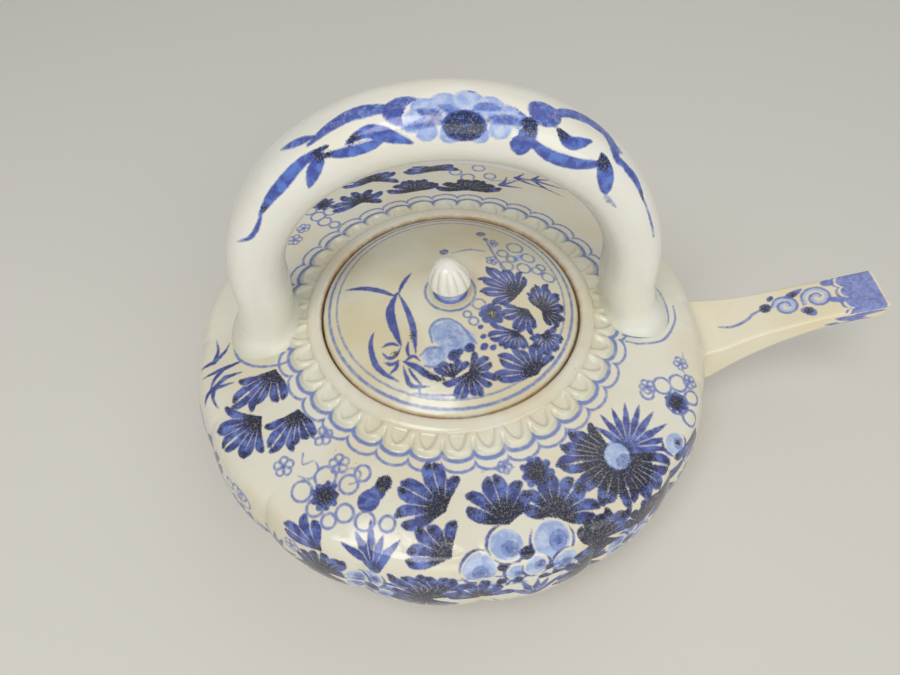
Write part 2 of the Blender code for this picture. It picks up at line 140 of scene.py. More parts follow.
def add(tree, kind, inputs=None, **settings):
    """Adds one node with its settings. Each input is a value, or the output of another node."""
    node = tree.nodes.new("ShaderNode" + kind)
    for name, value in settings.items():
        setattr(node, name, value)
    for socket, value in (inputs or {}).items():
        if isinstance(value, bpy.types.NodeSocket):
            tree.links.new(value, node.inputs[socket])
        else:
            node.inputs[socket].default_value = value
    return node


# %% Grids to meshes
def grid_piece(name, grid, material, wrap=True, loop=False, poles=(None, None), values=None):
    """A mesh from rows of points in mm. wrap closes each row, loop joins the last row to the first, and a
    pole is one point that closes an end. The order of rows and columns decides which way the faces look."""
    rows, columns = grid.shape[:2]
    points = grid.reshape(-1, 3)
    r = np.arange(rows if loop else rows - 1)[:, None]
    c = np.arange(columns if wrap else columns - 1)[None, :]
    r2, c2 = (r + 1) % rows, (c + 1) % columns
    quads = np.stack([r * columns + c, r2 * columns + c, r2 * columns + c2, r * columns + c2], axis=-1)
    faces = [quads.reshape(-1, 4)]
    around = np.arange(columns)
    for end, pole in enumerate(poles):
        if pole is not None:
            points = np.vstack([points, pole])
            row_start = end * (rows - 1) * columns
            first, second = around + row_start, (around + 1) % columns + row_start
            tip = np.full(columns, len(points) - 1)
            faces.append(np.stack([tip, second, first] if end else [tip, first, second], axis=-1))
    mesh = bpy.data.meshes.new(name)
    mesh.vertices.add(len(points))
    mesh.vertices.foreach_set("co", ((points + AXIS) / 1000.0).astype(np.float32).ravel())
    sizes = np.concatenate([np.full(len(f), f.shape[1]) for f in faces])
    mesh.loops.add(int(sizes.sum()))
    mesh.loops.foreach_set("vertex_index", np.concatenate([f.ravel() for f in faces]).astype(np.int32))
    mesh.polygons.add(len(sizes))
    mesh.polygons.foreach_set("loop_start", (np.cumsum(sizes) - sizes).astype(np.int32))
    mesh.update(calc_edges=True)
    mesh.shade_smooth()
    for label, value in (values or {}).items():
        spare = np.full(len(points) - len(value), value[-1])
        mesh.attributes.new(label, "FLOAT", "POINT").data.foreach_set(
            "value", np.concatenate([value, spare]).astype(np.float32))
    mesh.materials.append(material)
    piece = bpy.data.objects.new(name, mesh)
    bpy.context.scene.collection.objects.link(piece)
    print(name, len(points), "points", int((sizes - 2).sum()), "triangles")
    return piece


def turned(profile, columns):
    """A profile of (radius, z) rows carried round the axis: x = r cos a, y = r sin a."""
    profile = np.asarray(profile, float)
    angle = np.linspace(0.0, 2 * np.pi, columns, endpoint=False)
    ring = np.stack([np.cos(angle), np.sin(angle)], axis=-1)
    flat = profile[:, None, :1] * ring[None]
    height = np.broadcast_to(profile[:, None, 1:], (len(profile), columns, 1))
    return np.concatenate([flat, height], axis=-1)


def even(path, step):
    """The same path with points at an even step along it, by its running length."""
    path = np.asarray(path, float)
    along = np.concatenate([[0.0], np.cumsum(np.linalg.norm(np.diff(path, axis=0), axis=1))])
    marks = np.linspace(0.0, along[-1], max(2, int(round(along[-1] / step)) + 1))
    return np.stack([np.interp(marks, along, path[:, k]) for k in range(path.shape[1])], axis=-1)


def smooth(low, high, x):
    """Soft step: 0 below low, 1 above high, and t*t*(3 - 2t) between."""
    t = np.clip((x - low) / (high - low), 0.0, 1.0)
    return t * t * (3.0 - 2.0 * t)


# %% [markdown]
# ## Floor
# A matt pale board. It only takes the pot's shadow, so it is one flat sheet.

# %% Floor
board = bpy.data.materials.new("matt painted board")
board.use_nodes = True
board_shader = board.node_tree.nodes["Principled BSDF"]
board_shader.inputs["Base Color"].default_value = linear("D8D5CF")
board_shader.inputs["Roughness"].default_value = 0.85
BOARD_HALF, BOARD_DROP = 2500.0, 0.05     # mm: half its width, and how far it lies under the foot
u = np.linspace(-BOARD_HALF, BOARD_HALF, 5)
board_grid = np.stack([*np.meshgrid(u, u), np.full((5, 5), -BOARD_DROP)], axis=-1)
floor = grid_piece("floor", board_grid, board, wrap=False)

# %% [markdown]
# ## The brush
# Underglaze cobalt goes on in a few loads: a fine line, a full leaf stroke, a watery wash, and an almost
# black second coat. Each load is kept as one value per point: how deep inside the nearest stroke the point
# lies, in mm, negative outside. The material turns that depth into a soft painted edge, and a depth that is
# held down to a small value stays a thin, watery coat. Thin bare slits are kept in the same way and take
# paint off again. A stroke is a path with a width that swells along it.

# %% Strokes
LOADS = ("line", "leaf", "wash", "dark", "slit")
FAR = -3.0      # mm outside every stroke
UNCAPPED = 9.0      # mm, deeper than any stroke


def blank(flat):
    """An unpainted sheet: the points laid flat in mm, and an empty depth for each load."""
    return {"flat": flat, **{load: np.full(len(flat), FAR) for load in LOADS}}


def through(points, count=7):
    """A smooth path through the points: on each stretch the cubic of Catmull and Rom."""
    p = np.asarray(points, float)
    p = np.vstack([2 * p[0] - p[1], p, 2 * p[-1] - p[-2]])
    t = np.linspace(0.0, 1.0, count, endpoint=False)[:, None]
    path = [0.5 * (2 * b + (c - a) * t + (2 * a - 5 * b + 4 * c - d) * t ** 2 + (3 * b - a - 3 * c + d)
            * t ** 3) for a, b, c, d in zip(p, p[1:], p[2:], p[3:])]
    return np.vstack([*path, p[-2]])


SWELL = {
    "line": lambda t: 0.75 + 0.25 * np.sin(np.pi * t),
    "blade": lambda t: np.sin(np.pi * (0.04 + 0.92 * t)) ** 0.8,
    "finger": lambda t: (0.50 + 0.50 * smooth(0.0, 0.55, t)) * (1 - 0.45 * smooth(0.65, 1.0, t)),
    "spike": lambda t: (1 - t) ** 0.75 + 0.06,
    "web": lambda t: 0.30 + 0.70 * t,
}


def stroke(sheet, load, points, width, swell="line", full=UNCAPPED):
    """Depth inside a stroke: half the width there, less the distance to the path. The deepest stroke wins.
    A depth held down to full leaves a thin, watery coat."""
    path = through(points)
    half = 0.5 * width * SWELL[swell](np.linspace(0.0, 1.0, len(path)))
    margin = half.max() + 1.0
    flat = sheet["flat"]
    near = np.flatnonzero(((flat > path.min(0) - margin) & (flat < path.max(0) + margin)).all(axis=1))
    if not len(near):
        return
    spot = flat[near]
    depth = np.full(len(near), FAR)
    for a, b, ha, hb in zip(path, path[1:], half, half[1:]):
        leg = b - a
        t = np.clip((spot - a) @ leg / max(leg @ leg, 1e-9), 0.0, 1.0)
        gap = np.linalg.norm(spot - a - t[:, None] * leg, axis=1)
        depth = np.maximum(depth, ha + (hb - ha) * t - gap)
    sheet[load][near] = np.maximum(sheet[load][near], np.minimum(depth, full))


def ring(sheet, centre, radius, width=0.5, load="line"):
    """A drawn circle: depth is half the width less the distance to the rim."""
    away = np.linalg.norm(sheet["flat"] - np.asarray(centre), axis=1)
    sheet[load] = np.maximum(sheet[load], np.maximum(width / 2 - np.abs(away - radius), FAR))


def blot(sheet, load, centre, radius, stretch=1.0, lean=0.0, full=UNCAPPED):
    """A filled round or oval spot: depth is the radius less the distance to the centre."""
    off = sheet["flat"] - np.asarray(centre)
    c, s = math.cos(math.radians(lean)), math.sin(math.radians(lean))
    off = np.stack([off[:, 0] * c + off[:, 1] * s, (off[:, 1] * c - off[:, 0] * s) * stretch], axis=-1)
    depth = np.minimum(radius - np.hypot(off[:, 0], off[:, 1]), full)
    sheet[load] = np.maximum(sheet[load], np.maximum(depth, FAR))


def reserve(sheet, centre, radius):
    """A round kept free of every load so far, as for a pale flower among dark leaves."""
    outside = np.linalg.norm(sheet["flat"] - np.asarray(centre), axis=1) - radius
    for load in LOADS:
        sheet[load] = np.minimum(sheet[load], np.maximum(outside, FAR))


# %% [markdown]
# ## Motifs
# The garden on this pot repeats a few flowers. A fan leaf is a handful of fingers spread from one dark
# heart and joined by a web, each dark at its tip, with thin bare slits between. A round bloom is a wash
# with a darker inner curl. Plum blossom is five small rings, and grass is a few blades. Each motif is a
# function of a place and the points where its fingers end, so a row of motifs is a short list.


# %% Motifs
def polar(centre, radius, degrees):
    """The point at a distance and bearing from a centre."""
    return (centre[0] + radius * math.cos(math.radians(degrees)),
            centre[1] + radius * math.sin(math.radians(degrees)))


BOW, WEB = 0.10, 0.52     # shares of a finger's length: its bend sideways, and how far the web reaches
SLIT = 0.52               # mm, width of a bare vein


def fan(sheet, heart, tips, width=3.0, dark=1.0, heart_r=2.2):
    """A webbed leaf. Fingers run from the heart to each tip, and a web joins them near the heart. The
    speckled dark heart thins outward, the finger ends are dark, and a bare vein parts each two fingers.
    Where two tips stand wide apart, one more finger goes between them."""
    heart = np.array(heart, float)
    tips = [np.array(tip, float) for tip in tips]
    for number in range(len(tips) - 1, 0, -1):
        between = (tips[number - 1] + tips[number]) / 2
        gap = np.linalg.norm(tips[number] - tips[number - 1])
        if 1.75 * width < gap < 2.6 * width:
            tips.insert(number, heart + (between - heart) * (0.97 + 0.04 * (number % 3)))
    far = max(np.linalg.norm(tip - heart) for tip in tips) + width
    near = np.flatnonzero((np.abs(sheet["flat"] - heart) < far).all(axis=1))
    if not len(near):
        return
    part = blank(sheet["flat"][near])
    for number, tip in enumerate(tips):
        way = tip - heart
        side = np.array([-way[1], way[0]]) * BOW * (1 if number % 2 else -1)
        finger = [heart, heart + 0.5 * way - 0.3 * side, heart + 0.86 * way + 0.2 * side, tip + side]
        stroke(part, "leaf", finger, width * 0.95, "finger")
        blot(part, "dark", tip - 0.05 * way + 0.8 * side, width * 0.25 * dark)
    for one, two in zip(tips, tips[1:]):
        gap = np.linalg.norm(one - two)
        middle = (one + two) / 2 - heart
        if gap < 2.6 * width:
            stroke(part, "leaf", [heart, heart + 0.5 * WEB * middle, heart + WEB * middle], gap * 0.75,
                    "web")
            stroke(part, "slit", [heart + 0.25 * middle, heart + 0.6 * middle, heart + 0.9 * middle], SLIT,
                    "blade")
    away = np.linalg.norm(part["flat"] - heart, axis=1)
    part["dark"] = np.maximum(part["dark"], np.minimum(0.30 * (heart_r * 1.75 * dark - away), 0.55))
    within_leaf(part, "leaf")
    for load in LOADS:
        sheet[load][near] = np.maximum(sheet[load][near], part[load])


def spread(heart, reach, start, end, count, seed=0):
    """Finger tips on an arc round the heart, each a little off in reach and bearing."""
    rng = np.random.default_rng(seed)
    bearings = np.linspace(start, end, count) + rng.uniform(-5.0, 5.0, count)
    reaches = reach * rng.uniform(0.86, 1.12, count)
    return [polar(heart, far, bearing) for far, bearing in zip(reaches, bearings)]


def spiky(sheet, heart, tips, width=3.2):
    """A leaf with pointed fingers and no dark tips."""
    heart = np.array(heart, float)
    for tip in tips:
        way = np.array(tip, float) - heart
        stroke(sheet, "leaf", [heart, heart + 0.5 * way, tip], width, "spike")
    blot(sheet, "leaf", heart, width * 0.55)
    for one, two in zip(tips, tips[1:]):
        middle = (np.array(one, float) + np.array(two, float)) / 2 - heart
        stroke(sheet, "leaf", [heart, heart + 0.2 * middle, heart + 0.42 * middle], width * 0.8, "web")
        stroke(sheet, "slit", [heart + 0.15 * middle, heart + 0.4 * middle, heart + 0.7 * middle], 0.55,
                "blade")
    blot(sheet, "dark", heart, width * 0.30, full=0.1)


def bloom(sheet, centre, radius, lean=0.0, heart="leaf"):
    """A round flower: a white rim, a pale wash, a darker curl inside, and a drawn edge on one side."""
    reserve(sheet, centre, radius + 0.45)
    blot(sheet, "wash", centre, radius - 0.25, 1.08, lean)
    inner = polar(centre, radius * 0.30, lean - 60)
    blot(sheet, "leaf", inner, radius * 0.52, 1.15, lean, full=0.02)
    blot(sheet, heart, inner, radius * 0.26, 1.15, lean, full=0.15)
    for first in (0, 130):
        arc = [polar(centre, radius + 0.5, lean + first + k) for k in (90, 120, 150, 180, 205)]
        stroke(sheet, "leaf", arc, 0.9, "blade")
    for k in (0, 47, 94):
        vein = [polar(centre, radius * 0.3, lean + k), polar(centre, radius * 0.85, lean + k + 12)]
        stroke(sheet, "slit", vein, 0.5, "blade")


def peony(sheet, centre, radius, lean=0.0):
    """A full flower: six washed petals with white rims round a dark blue middle."""
    for k in range(6):
        bloom(sheet, polar(centre, radius * 0.66, lean + 60 * k), radius * 0.46, lean + 40 * k)
    reserve(sheet, centre, radius * 0.36)
    blot(sheet, "leaf", centre, radius * 0.30)
    blot(sheet, "dark", centre, radius * 0.16)


def blossom(sheet, centre, radius=2.3, lean=0.0):
    """Plum blossom: five small drawn rings round a dot."""
    for k in range(5):
        ring(sheet, polar(centre, radius * 0.62, lean + 72 * k), radius * 0.42, 0.60)
    blot(sheet, "leaf", centre, 0.5)


def berry(sheet, centre, radius=3.2, seed=0):
    """A dark round seed head with a soft edge."""
    blot(sheet, "leaf", centre, radius * 0.95)
    away = np.linalg.norm(sheet["flat"] - np.asarray(centre), axis=1)
    sheet["dark"] = np.maximum(sheet["dark"], np.maximum(0.5 * (radius * 0.75 - away), FAR))
    for tip in spread(centre, radius * 0.98, 0, 320, 9, seed):
        blot(sheet, "leaf", tip, radius * 0.26)


def tuft(sheet, root, blades, width=1.5):
    """Grass: pointed blades from one root to each tip."""
    for tip in blades:
        middle = (np.array(root) + np.array(tip)) / 2 + np.array([0.12 * (tip[1] - root[1]), 0.0])
        stroke(sheet, "leaf", [root, middle, tip], width, "spike")


def fans(sheet, leaves):
    """Webbed leaves: heart, tips, width, radius of the heart and, where it isn't 1, how dark it is."""
    for heart, tips, width, heart_r, *dark in leaves:
        fan(sheet, heart, tips, width, *dark, heart_r=heart_r)


def bubbles(sheet, rounds, width=0.75):
    """Drawn rounds, as the open flower buds are: the place and radius of each."""
    for x, y, radius in rounds:
        ring(sheet, (x, y), radius, width)


def blots(sheet, load, rounds, share=1.0, stretch=1.0, lean=0.0, full=UNCAPPED):
    """Filled spots of one load: the place and radius of each, and how much of the radius is filled."""
    for x, y, radius in rounds:
        blot(sheet, load, (x, y), radius * share, stretch, lean, full)


def within_leaf(sheet, *loads):
    """Holds the blue-black coat to where the named loads are painted, so that no speck strays outside."""
    sheet["dark"] = np.minimum(sheet["dark"], 3.0 * np.maximum.reduce([sheet[load] for load in loads]))


# %% [markdown]
# ## Glaze
# Blue and white porcelain: a white body, cobalt oxide painted on it raw, and one clear glaze over both,
# fired together. The glaze is smooth and glossy with a faint orange-peel swell. It runs a little thick
# and grey-green in hollows, and iron in the clay burns to a warm brown where it is thin at an edge. The
# same grey-green is also laid as painted shade on the inner side of the handle's feet. The cobalt breaks
# up: its edge is soft, its body is mottled, and its thickest coat goes blue-black with tiny rusty specks.
# Porcelain glaze has an IOR near 1.5 and a low roughness.

# %% Glaze material
COBALT = {"wash": "8EA5D6", "leaf": "6075BC", "leaf_deep": "303C82", "line": "6578B8", "dark": "28282F"}
BRUSH_EDGE = 0.28      # mm over which a painted edge fades
BRUSH_WOBBLE = 0.24    # mm by which the edge wanders
STIPPLE = 4.0          # mm over which the blue-black coat breaks into dots


def per_mm(millimetres):
    """A noise scale whose features are about this size: Object coordinates are metres."""
    return 1000.0 / millimetres


def glaze(name, clay, warm, painted=True, with_pool_and_shade=True, cobalt=COBALT):
    """Glazed porcelain. clay and warm are the two tones that its body drifts between."""
    material = bpy.data.materials.new(name)
    material.use_nodes = True
    tree = material.node_tree
    shader = tree.nodes["Principled BSDF"]
    place = add(tree, "TexCoord").outputs["Object"]

    def noise(size, detail=2.0, rough=0.5):
        """Noise with features of a size in mm."""
        return add(tree, "TexNoise", {"Vector": place, "Scale": per_mm(size), "Detail": detail,
                                      "Roughness": rough}).outputs["Fac"]

    def span(value, low, high, first=0.0, last=1.0):
        """A soft step from first to last as the value goes from low to high."""
        return add(tree, "MapRange", {"Value": value, "From Min": low, "From Max": high, "To Min": first,
                                      "To Max": last}, interpolation_type="SMOOTHSTEP").outputs["Result"]

    def maths(operation, one, two):
        """One sum of two values."""
        return add(tree, "Math", {0: one, 1: two}, operation=operation).outputs[0]

    def times(one, *others):
        """The product of values."""
        for other in others:
            one = maths("MULTIPLY", one, other)
        return one

    def mix(factor, one, two):
        """Colour one laid over with colour two."""
        return add(tree, "Mix", {0: factor, 6: one, 7: two}, data_type="RGBA").outputs[2]

    def depth(load):
        """The value that the mesh carries for a load, for the pooled glaze with its painted shade, or for the
        stain.
        """
        return add(tree, "Attribute", attribute_name=load).outputs["Fac"]

    colour = mix(span(noise(26.0, 3.0), 0.38, 0.66), linear(clay), linear(warm))
    fleck = add(tree, "TexVoronoi", {"Vector": place, "Scale": per_mm(2.6), "Randomness": 1.0})
    rare = span(add(tree, "SeparateColor", {"Color": fleck.outputs["Color"]}).outputs["Red"], 0.93, 0.95)
    speck = times(span(fleck.outputs["Distance"], 0.09, 0.05), rare)
    colour = mix(times(speck, 0.55), colour, linear("8A7658"))
    if with_pool_and_shade:
        # Grey-green of glaze pooled in hollows. On the shoulder the same value also carries painted shade by
        # the handle's feet.
        colour = mix(depth("pool_and_shade"), colour, linear("C0C5AA"))
        rust = times(depth("stain"), span(noise(3.2, 4.0, 0.7), 0.30, 0.62))
        colour = mix(rust, colour, linear("BF8C4E"))
    if painted:
        wander = times(maths("SUBTRACT", noise(1.1, 3.0), 0.5), BRUSH_WOBBLE * 2)
        grain = noise(0.55, 2.0, 0.7)
        load_tone = noise(2.4, 2.0)

        def cover(load, most):
            """How far a load covers the clay, with a soft and wandering edge."""
            return span(maths("ADD", depth(load), wander), -BRUSH_EDGE, BRUSH_EDGE, 0.0, most)

        bare = maths("SUBTRACT", 1.0, span(depth("slit"), -0.10, 0.26, 0.0, 0.60))
        wash_tone = mix(span(load_tone, 0.35, 0.7), linear(cobalt["wash"]), linear("B9C8E6"))
        thin = times(span(grain, 0.1, 0.5, 0.72, 1.0), bare)
        colour = mix(times(cover("wash", 0.92), thin), colour, wash_tone)
        deep = maths("ADD", load_tone, times(grain, 0.35))
        leaf_tone = mix(span(deep, 0.50, 0.80), linear(cobalt["leaf"]), linear(cobalt["leaf_deep"]))
        rim = span(depth("leaf"), 0.05, 0.75, 1.0, 0.0)
        leaf_tone = mix(times(rim, 0.22), leaf_tone, linear(cobalt["leaf_deep"]))
        leaf_cover = times(cover("leaf", 0.96), bare, span(grain, 0.05, 0.4, 0.7, 1.0))
        colour = mix(leaf_cover, colour, leaf_tone)
        line_cover = times(cover("line", 0.92), span(noise(2.1, 2.0), 0.2, 0.55, 0.62, 1.0))
        colour = mix(line_cover, colour, linear(cobalt["line"]))
        rusty = span(noise(0.5, 1.0, 0.6), 0.56, 0.64, 0.0, 0.85)
        dark_tone = mix(rusty, linear(cobalt["dark"]), linear("77704F"))
        stipple = times(maths("SUBTRACT", noise(0.42, 2.0, 0.8), 0.5), STIPPLE)
        coat = span(maths("ADD", depth("dark"), maths("ADD", stipple, wander)), -0.3, 0.3, 0.0, 0.93)
        colour = mix(times(coat, bare), colour, dark_tone)
    tree.links.new(colour, shader.inputs["Base Color"])
    shader.inputs["IOR"].default_value = 1.5
    rough = span(noise(1.6, 2.0), 0.3, 0.75, 0.10, 0.20)
    tree.links.new(rough, shader.inputs["Roughness"])
    peel = add(tree, "Bump", {"Height": noise(4.2, 2.0, 0.4), "Strength": 0.22, "Distance": 0.0006})
    pits = add(tree, "Bump", {"Height": speck, "Strength": 0.5, "Distance": 0.0001,
                              "Normal": peel.outputs["Normal"]}, invert=True)
    tree.links.new(pits.outputs["Normal"], shader.inputs["Normal"])
    return material


body_glaze = glaze("porcelain, cream glaze over cobalt", "DEDBCC", "DAD2BB")
BRIGHT = {"wash": "86A0DC", "leaf": "5578CC", "leaf_deep": "31459E", "line": "5566B0", "dark": "24283C"}
WATERY = {**COBALT, "wash": "A9B6DC", "leaf": "8490D2", "leaf_deep": "626DB6", "line": "6474B8"}
GREYED = {**COBALT, "leaf": "5567AC", "leaf_deep": "3B4A92", "line": "6C7DB4"}
# The handle's and knob's glaze: whiter than the body's, and lightened a step more as painted light for the
# brighter light on the handle.
whiter_glaze_with_painted_light = glaze("porcelain, white glaze over cobalt", "E8E7DF", "E6E3D4", cobalt=BRIGHT)
spout_glaze = glaze("porcelain, ivory glaze over cobalt", "E9E1C9", "E6DAB8", cobalt=WATERY)
lid_glaze = glaze("porcelain, grey-cream glaze over cobalt", "DBD7C3", "D3C8A8", cobalt=GREYED)
inner_glaze = glaze("porcelain, plain glaze inside", "DAD8C8", "D4CDB6", painted=False, with_pool_and_shade=False)

# %% Bare clay
biscuit = bpy.data.materials.new("unglazed porcelain biscuit")
biscuit.use_nodes = True
tree = biscuit.node_tree
place = add(tree, "TexCoord").outputs["Object"]
grog = add(tree, "TexNoise", {"Vector": place, "Scale": per_mm(0.8), "Detail": 4.0, "Roughness": 0.7})
tint = add(tree, "TexNoise", {"Vector": place, "Scale": per_mm(9.0), "Detail": 3.0})
warmth = add(tree, "Mix", {0: tint.outputs["Fac"], 6: linear("D3C6AC"), 7: linear("B99C74")},
        data_type="RGBA")
biscuit_shader = tree.nodes["Principled BSDF"]
tree.links.new(warmth.outputs[2], biscuit_shader.inputs["Base Color"])
biscuit_shader.inputs["Roughness"].default_value = 0.78
sand = add(tree, "Bump", {"Height": grog.outputs["Fac"], "Strength": 0.4, "Distance": 0.0003})
tree.links.new(sand.outputs["Normal"], biscuit_shader.inputs["Normal"])

# %% [markdown]
# ## The body's outline
# The bowl's side is a quarter ellipse that swells from the foot, and a parabola that draws in again to the
# fold. The shoulder is a shallow parabola over it. Sixteen shallow grooves part the side into lobes. The
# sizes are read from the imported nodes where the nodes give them.

# %% Body outline
WIDE_R = cad("body_bowl")[1][1]
WIDE_Z = 28.5
FOOT_Z = cad("foot_ring")[1][2]
FLOOR_R = 50.0
FOLD_R, FOLD_Z, FOLD_ROUND = 74.5, 44.0, 3.0
SHOULDER_RISE = 8.5
LOBES, LOBE_PHASE = 16, math.radians(2.0)
PETALS = 36
ROUND = 1008            # columns round the pot: a whole number to each lobe and to each petal
SEAT_R, SEAT_INNER_R = cad("lid_seat")[1][0], 37.9
SEAT_TOP = cad("lid_seat")[1][2]


def side_radius(z):
    """Radius of the side at a height: an ellipse below the widest height and a parabola above it."""
    low = np.clip((WIDE_Z - z) / (WIDE_Z - FOOT_Z - 0.3), 0.0, 1.0)
    high = np.clip((z - WIDE_Z) / (FOLD_Z - WIDE_Z), 0.0, 1.0)
    return np.where(z < WIDE_Z, FLOOR_R + (WIDE_R - FLOOR_R) * np.sqrt(1 - low ** 2),
                    WIDE_R - (WIDE_R - FOLD_R) * high ** 2)


def shoulder_z(r):
    """Height of the shoulder: fold height + rise * (1 - (r / fold radius)^2)."""
    return FOLD_Z + SHOULDER_RISE * (1.0 - (r / FOLD_R) ** 2)


def across_lobe(grid):
    """0 on a groove between two lobes, and 1 in the middle of a lobe."""
    bearing = np.arctan2(grid[..., 1], grid[..., 0])
    return np.abs(((bearing - LOBE_PHASE) * LOBES / (2 * np.pi) + 0.5) % 1.0 - 0.5) * 2


def lobed(grid, depth):
    """Presses the grooves in: each point moves in by its depth times a soft V at the lobes' edges."""
    across = across_lobe(grid)
    groove = (1 - np.sqrt(np.clip(1 - (1 - across) ** 2.2, 0.0, 1.0))) * 1.2 + 0.12 * (1 - across)
    radius = np.hypot(grid[..., 0], grid[..., 1])
    grid[..., :2] *= (1 - depth * groove / radius)[..., None]
    return grid


# %% [markdown]
# ## Shoulder and petals
# The shoulder runs from the lid's seat out to the fold and just over it. The small petals round the seat
# were pressed from a mould, so they are worked here as a height over the shoulder: a raised rim round each
# petal, a shallow hollow inside it, and a sharp valley between two petals where the glaze pools.

# %% Shoulder shape
SHOULDER_START, SEAM_Z, FOLD_END_Z = 40.9, 40.0, 41.4
MESH_STEP = 0.43      # mm between points where painting is carried
fold_start = FOLD_R - FOLD_ROUND
t = np.linspace(0.0, 1.0, 24)[:, None]
fold_a = np.array([fold_start, shoulder_z(fold_start)])
fold_b = np.array([FOLD_R, FOLD_Z + 0.2])
fold_c = np.array([float(side_radius(FOLD_END_Z)), FOLD_END_Z])
fold = (1 - t) ** 2 * fold_a + 2 * t * (1 - t) * fold_b + t ** 2 * fold_c
flat_part = np.stack([np.linspace(SHOULDER_START, fold_start, 160)] * 2, axis=-1)
flat_part[:, 1] = shoulder_z(flat_part[:, 0])
tail_z = np.linspace(FOLD_END_Z, SEAM_Z, 6)[1:]
tail = np.stack([side_radius(tail_z), tail_z], axis=-1)
outline = even(np.vstack([flat_part, fold[1:], tail]), MESH_STEP)
PETAL_TIP, PETAL_NOTCH_R = 48.2, 45.6
petal_pitch = 2 * np.pi / PETALS
PETAL_PHASE = math.radians(-1.3)
PAD, HOLLOW, NOTCH = 1.15, 0.80, 0.95      # mm: a petal's height, its hollow's depth, the notch beside it


def petal_edge(bearing):
    """Radius of the scalloped edge: notch + (tip - notch) * sqrt(1 - a^2), a from -1 to 1 over a petal."""
    a = ((bearing - PETAL_PHASE) / petal_pitch + 0.5) % 1.0 * 2 - 1
    return PETAL_NOTCH_R + (PETAL_TIP - PETAL_NOTCH_R) * np.sqrt(np.clip(1 - np.abs(a) ** 2.1, 0.0, 1.0)), a


def petal_relief(x, y):
    """Height of the petals over the shoulder, and how much glaze pools there. Each petal is a round-ended
    tongue with a raised rim: a U-shaped hollow opens from its middle to the seat, and a notch that is
    deepest at the edge parts it from the next."""
    radius, bearing = np.hypot(x, y), np.arctan2(y, x)
    edge, a = petal_edge(bearing)
    half = 0.5 * petal_pitch * radius
    beside = (1 - np.abs(a)) * half
    pad = PAD * smooth(0.0, 1.1, edge - radius)
    hollow_half = 2.75 * np.sqrt(np.clip(1 - ((radius - 41.5) / 5.1) ** 2, 0.0, 1.0))
    hollow = HOLLOW * smooth(-0.1, 1.0, hollow_half - np.abs(a) * half) * smooth(41.0, 42.6, radius)
    notch = NOTCH * np.exp(-(beside / 0.60) ** 2) * smooth(42.5, 46.2, radius)
    height = np.clip(pad - hollow - notch, 0.0, None) * smooth(48.6, 47.9, radius)
    valley = np.exp(-((edge - radius) / 0.7) ** 2)
    valley += 0.8 * np.exp(-(beside / 0.5) ** 2) * (radius < edge) * smooth(42.5, 46.0, radius)
    return np.where(radius < 49.5, height, 0.0), valley * (radius < 49.8)


shoulder_grid = turned(outline, ROUND)
fade = smooth(66.0, 74.0, outline[:, 0])[:, None] * np.ones(ROUND)
shoulder_grid = lobed(shoulder_grid, np.where(outline[:, 1:] < FOLD_Z, 1.0, fade))
relief, valley = petal_relief(shoulder_grid[..., 0], shoulder_grid[..., 1])
shoulder_grid[..., 2] += relief


# %% [markdown]
# ## The painting on the shoulder
# The points are laid flat as a map seen from above. Past the fold the map goes on down the side, a
# millimetre of map for a millimetre of surface, so that a flower can run over the fold. The first marks
# are two scalloped lines that follow the petals. The flowers crowd the front, from the left foot of the
# handle round to the spout, with a second bed behind the handle, and bare glaze between.


# %% Flat map
def flat_map(grid, outline_lengths):
    """Map position of each point: its bearing, at the running length of the outline from the axis."""
    bearing = np.arctan2(grid[..., 1], grid[..., 0])
    return np.stack([outline_lengths[:, None] * np.cos(bearing),
                     outline_lengths[:, None] * np.sin(bearing)], axis=-1).reshape(-1, 2)


steps = np.concatenate([[0.0], np.cumsum(np.linalg.norm(np.diff(outline, axis=0), axis=1))])
reach = np.where(outline[:, 0] < fold_start - 0.01, outline[:, 0], 0.0)
turn_row = int(np.argmax(reach == 0.0))
reach[turn_row:] = reach[turn_row - 1] + steps[turn_row:] - steps[turn_row - 1]
SEAM_REACH = reach[-1]


# %% Painting on the shoulder
def scallops(sheet):
    """Two lines outside the petals: depth is half the width less the distance to the edge's own curve."""
    radius = np.hypot(*sheet["flat"].T)
    edge, a = petal_edge(np.arctan2(sheet["flat"][:, 1], sheet["flat"][:, 0]))
    slope = 1 + 1.2 * np.abs(a) ** 6
    for out, width in ((0.80, 1.10), (3.6, 0.78)):
        depth = width / 2 - np.abs(radius - edge - out) / slope
        sheet["line"] = np.maximum(sheet["line"], np.maximum(depth, FAR))


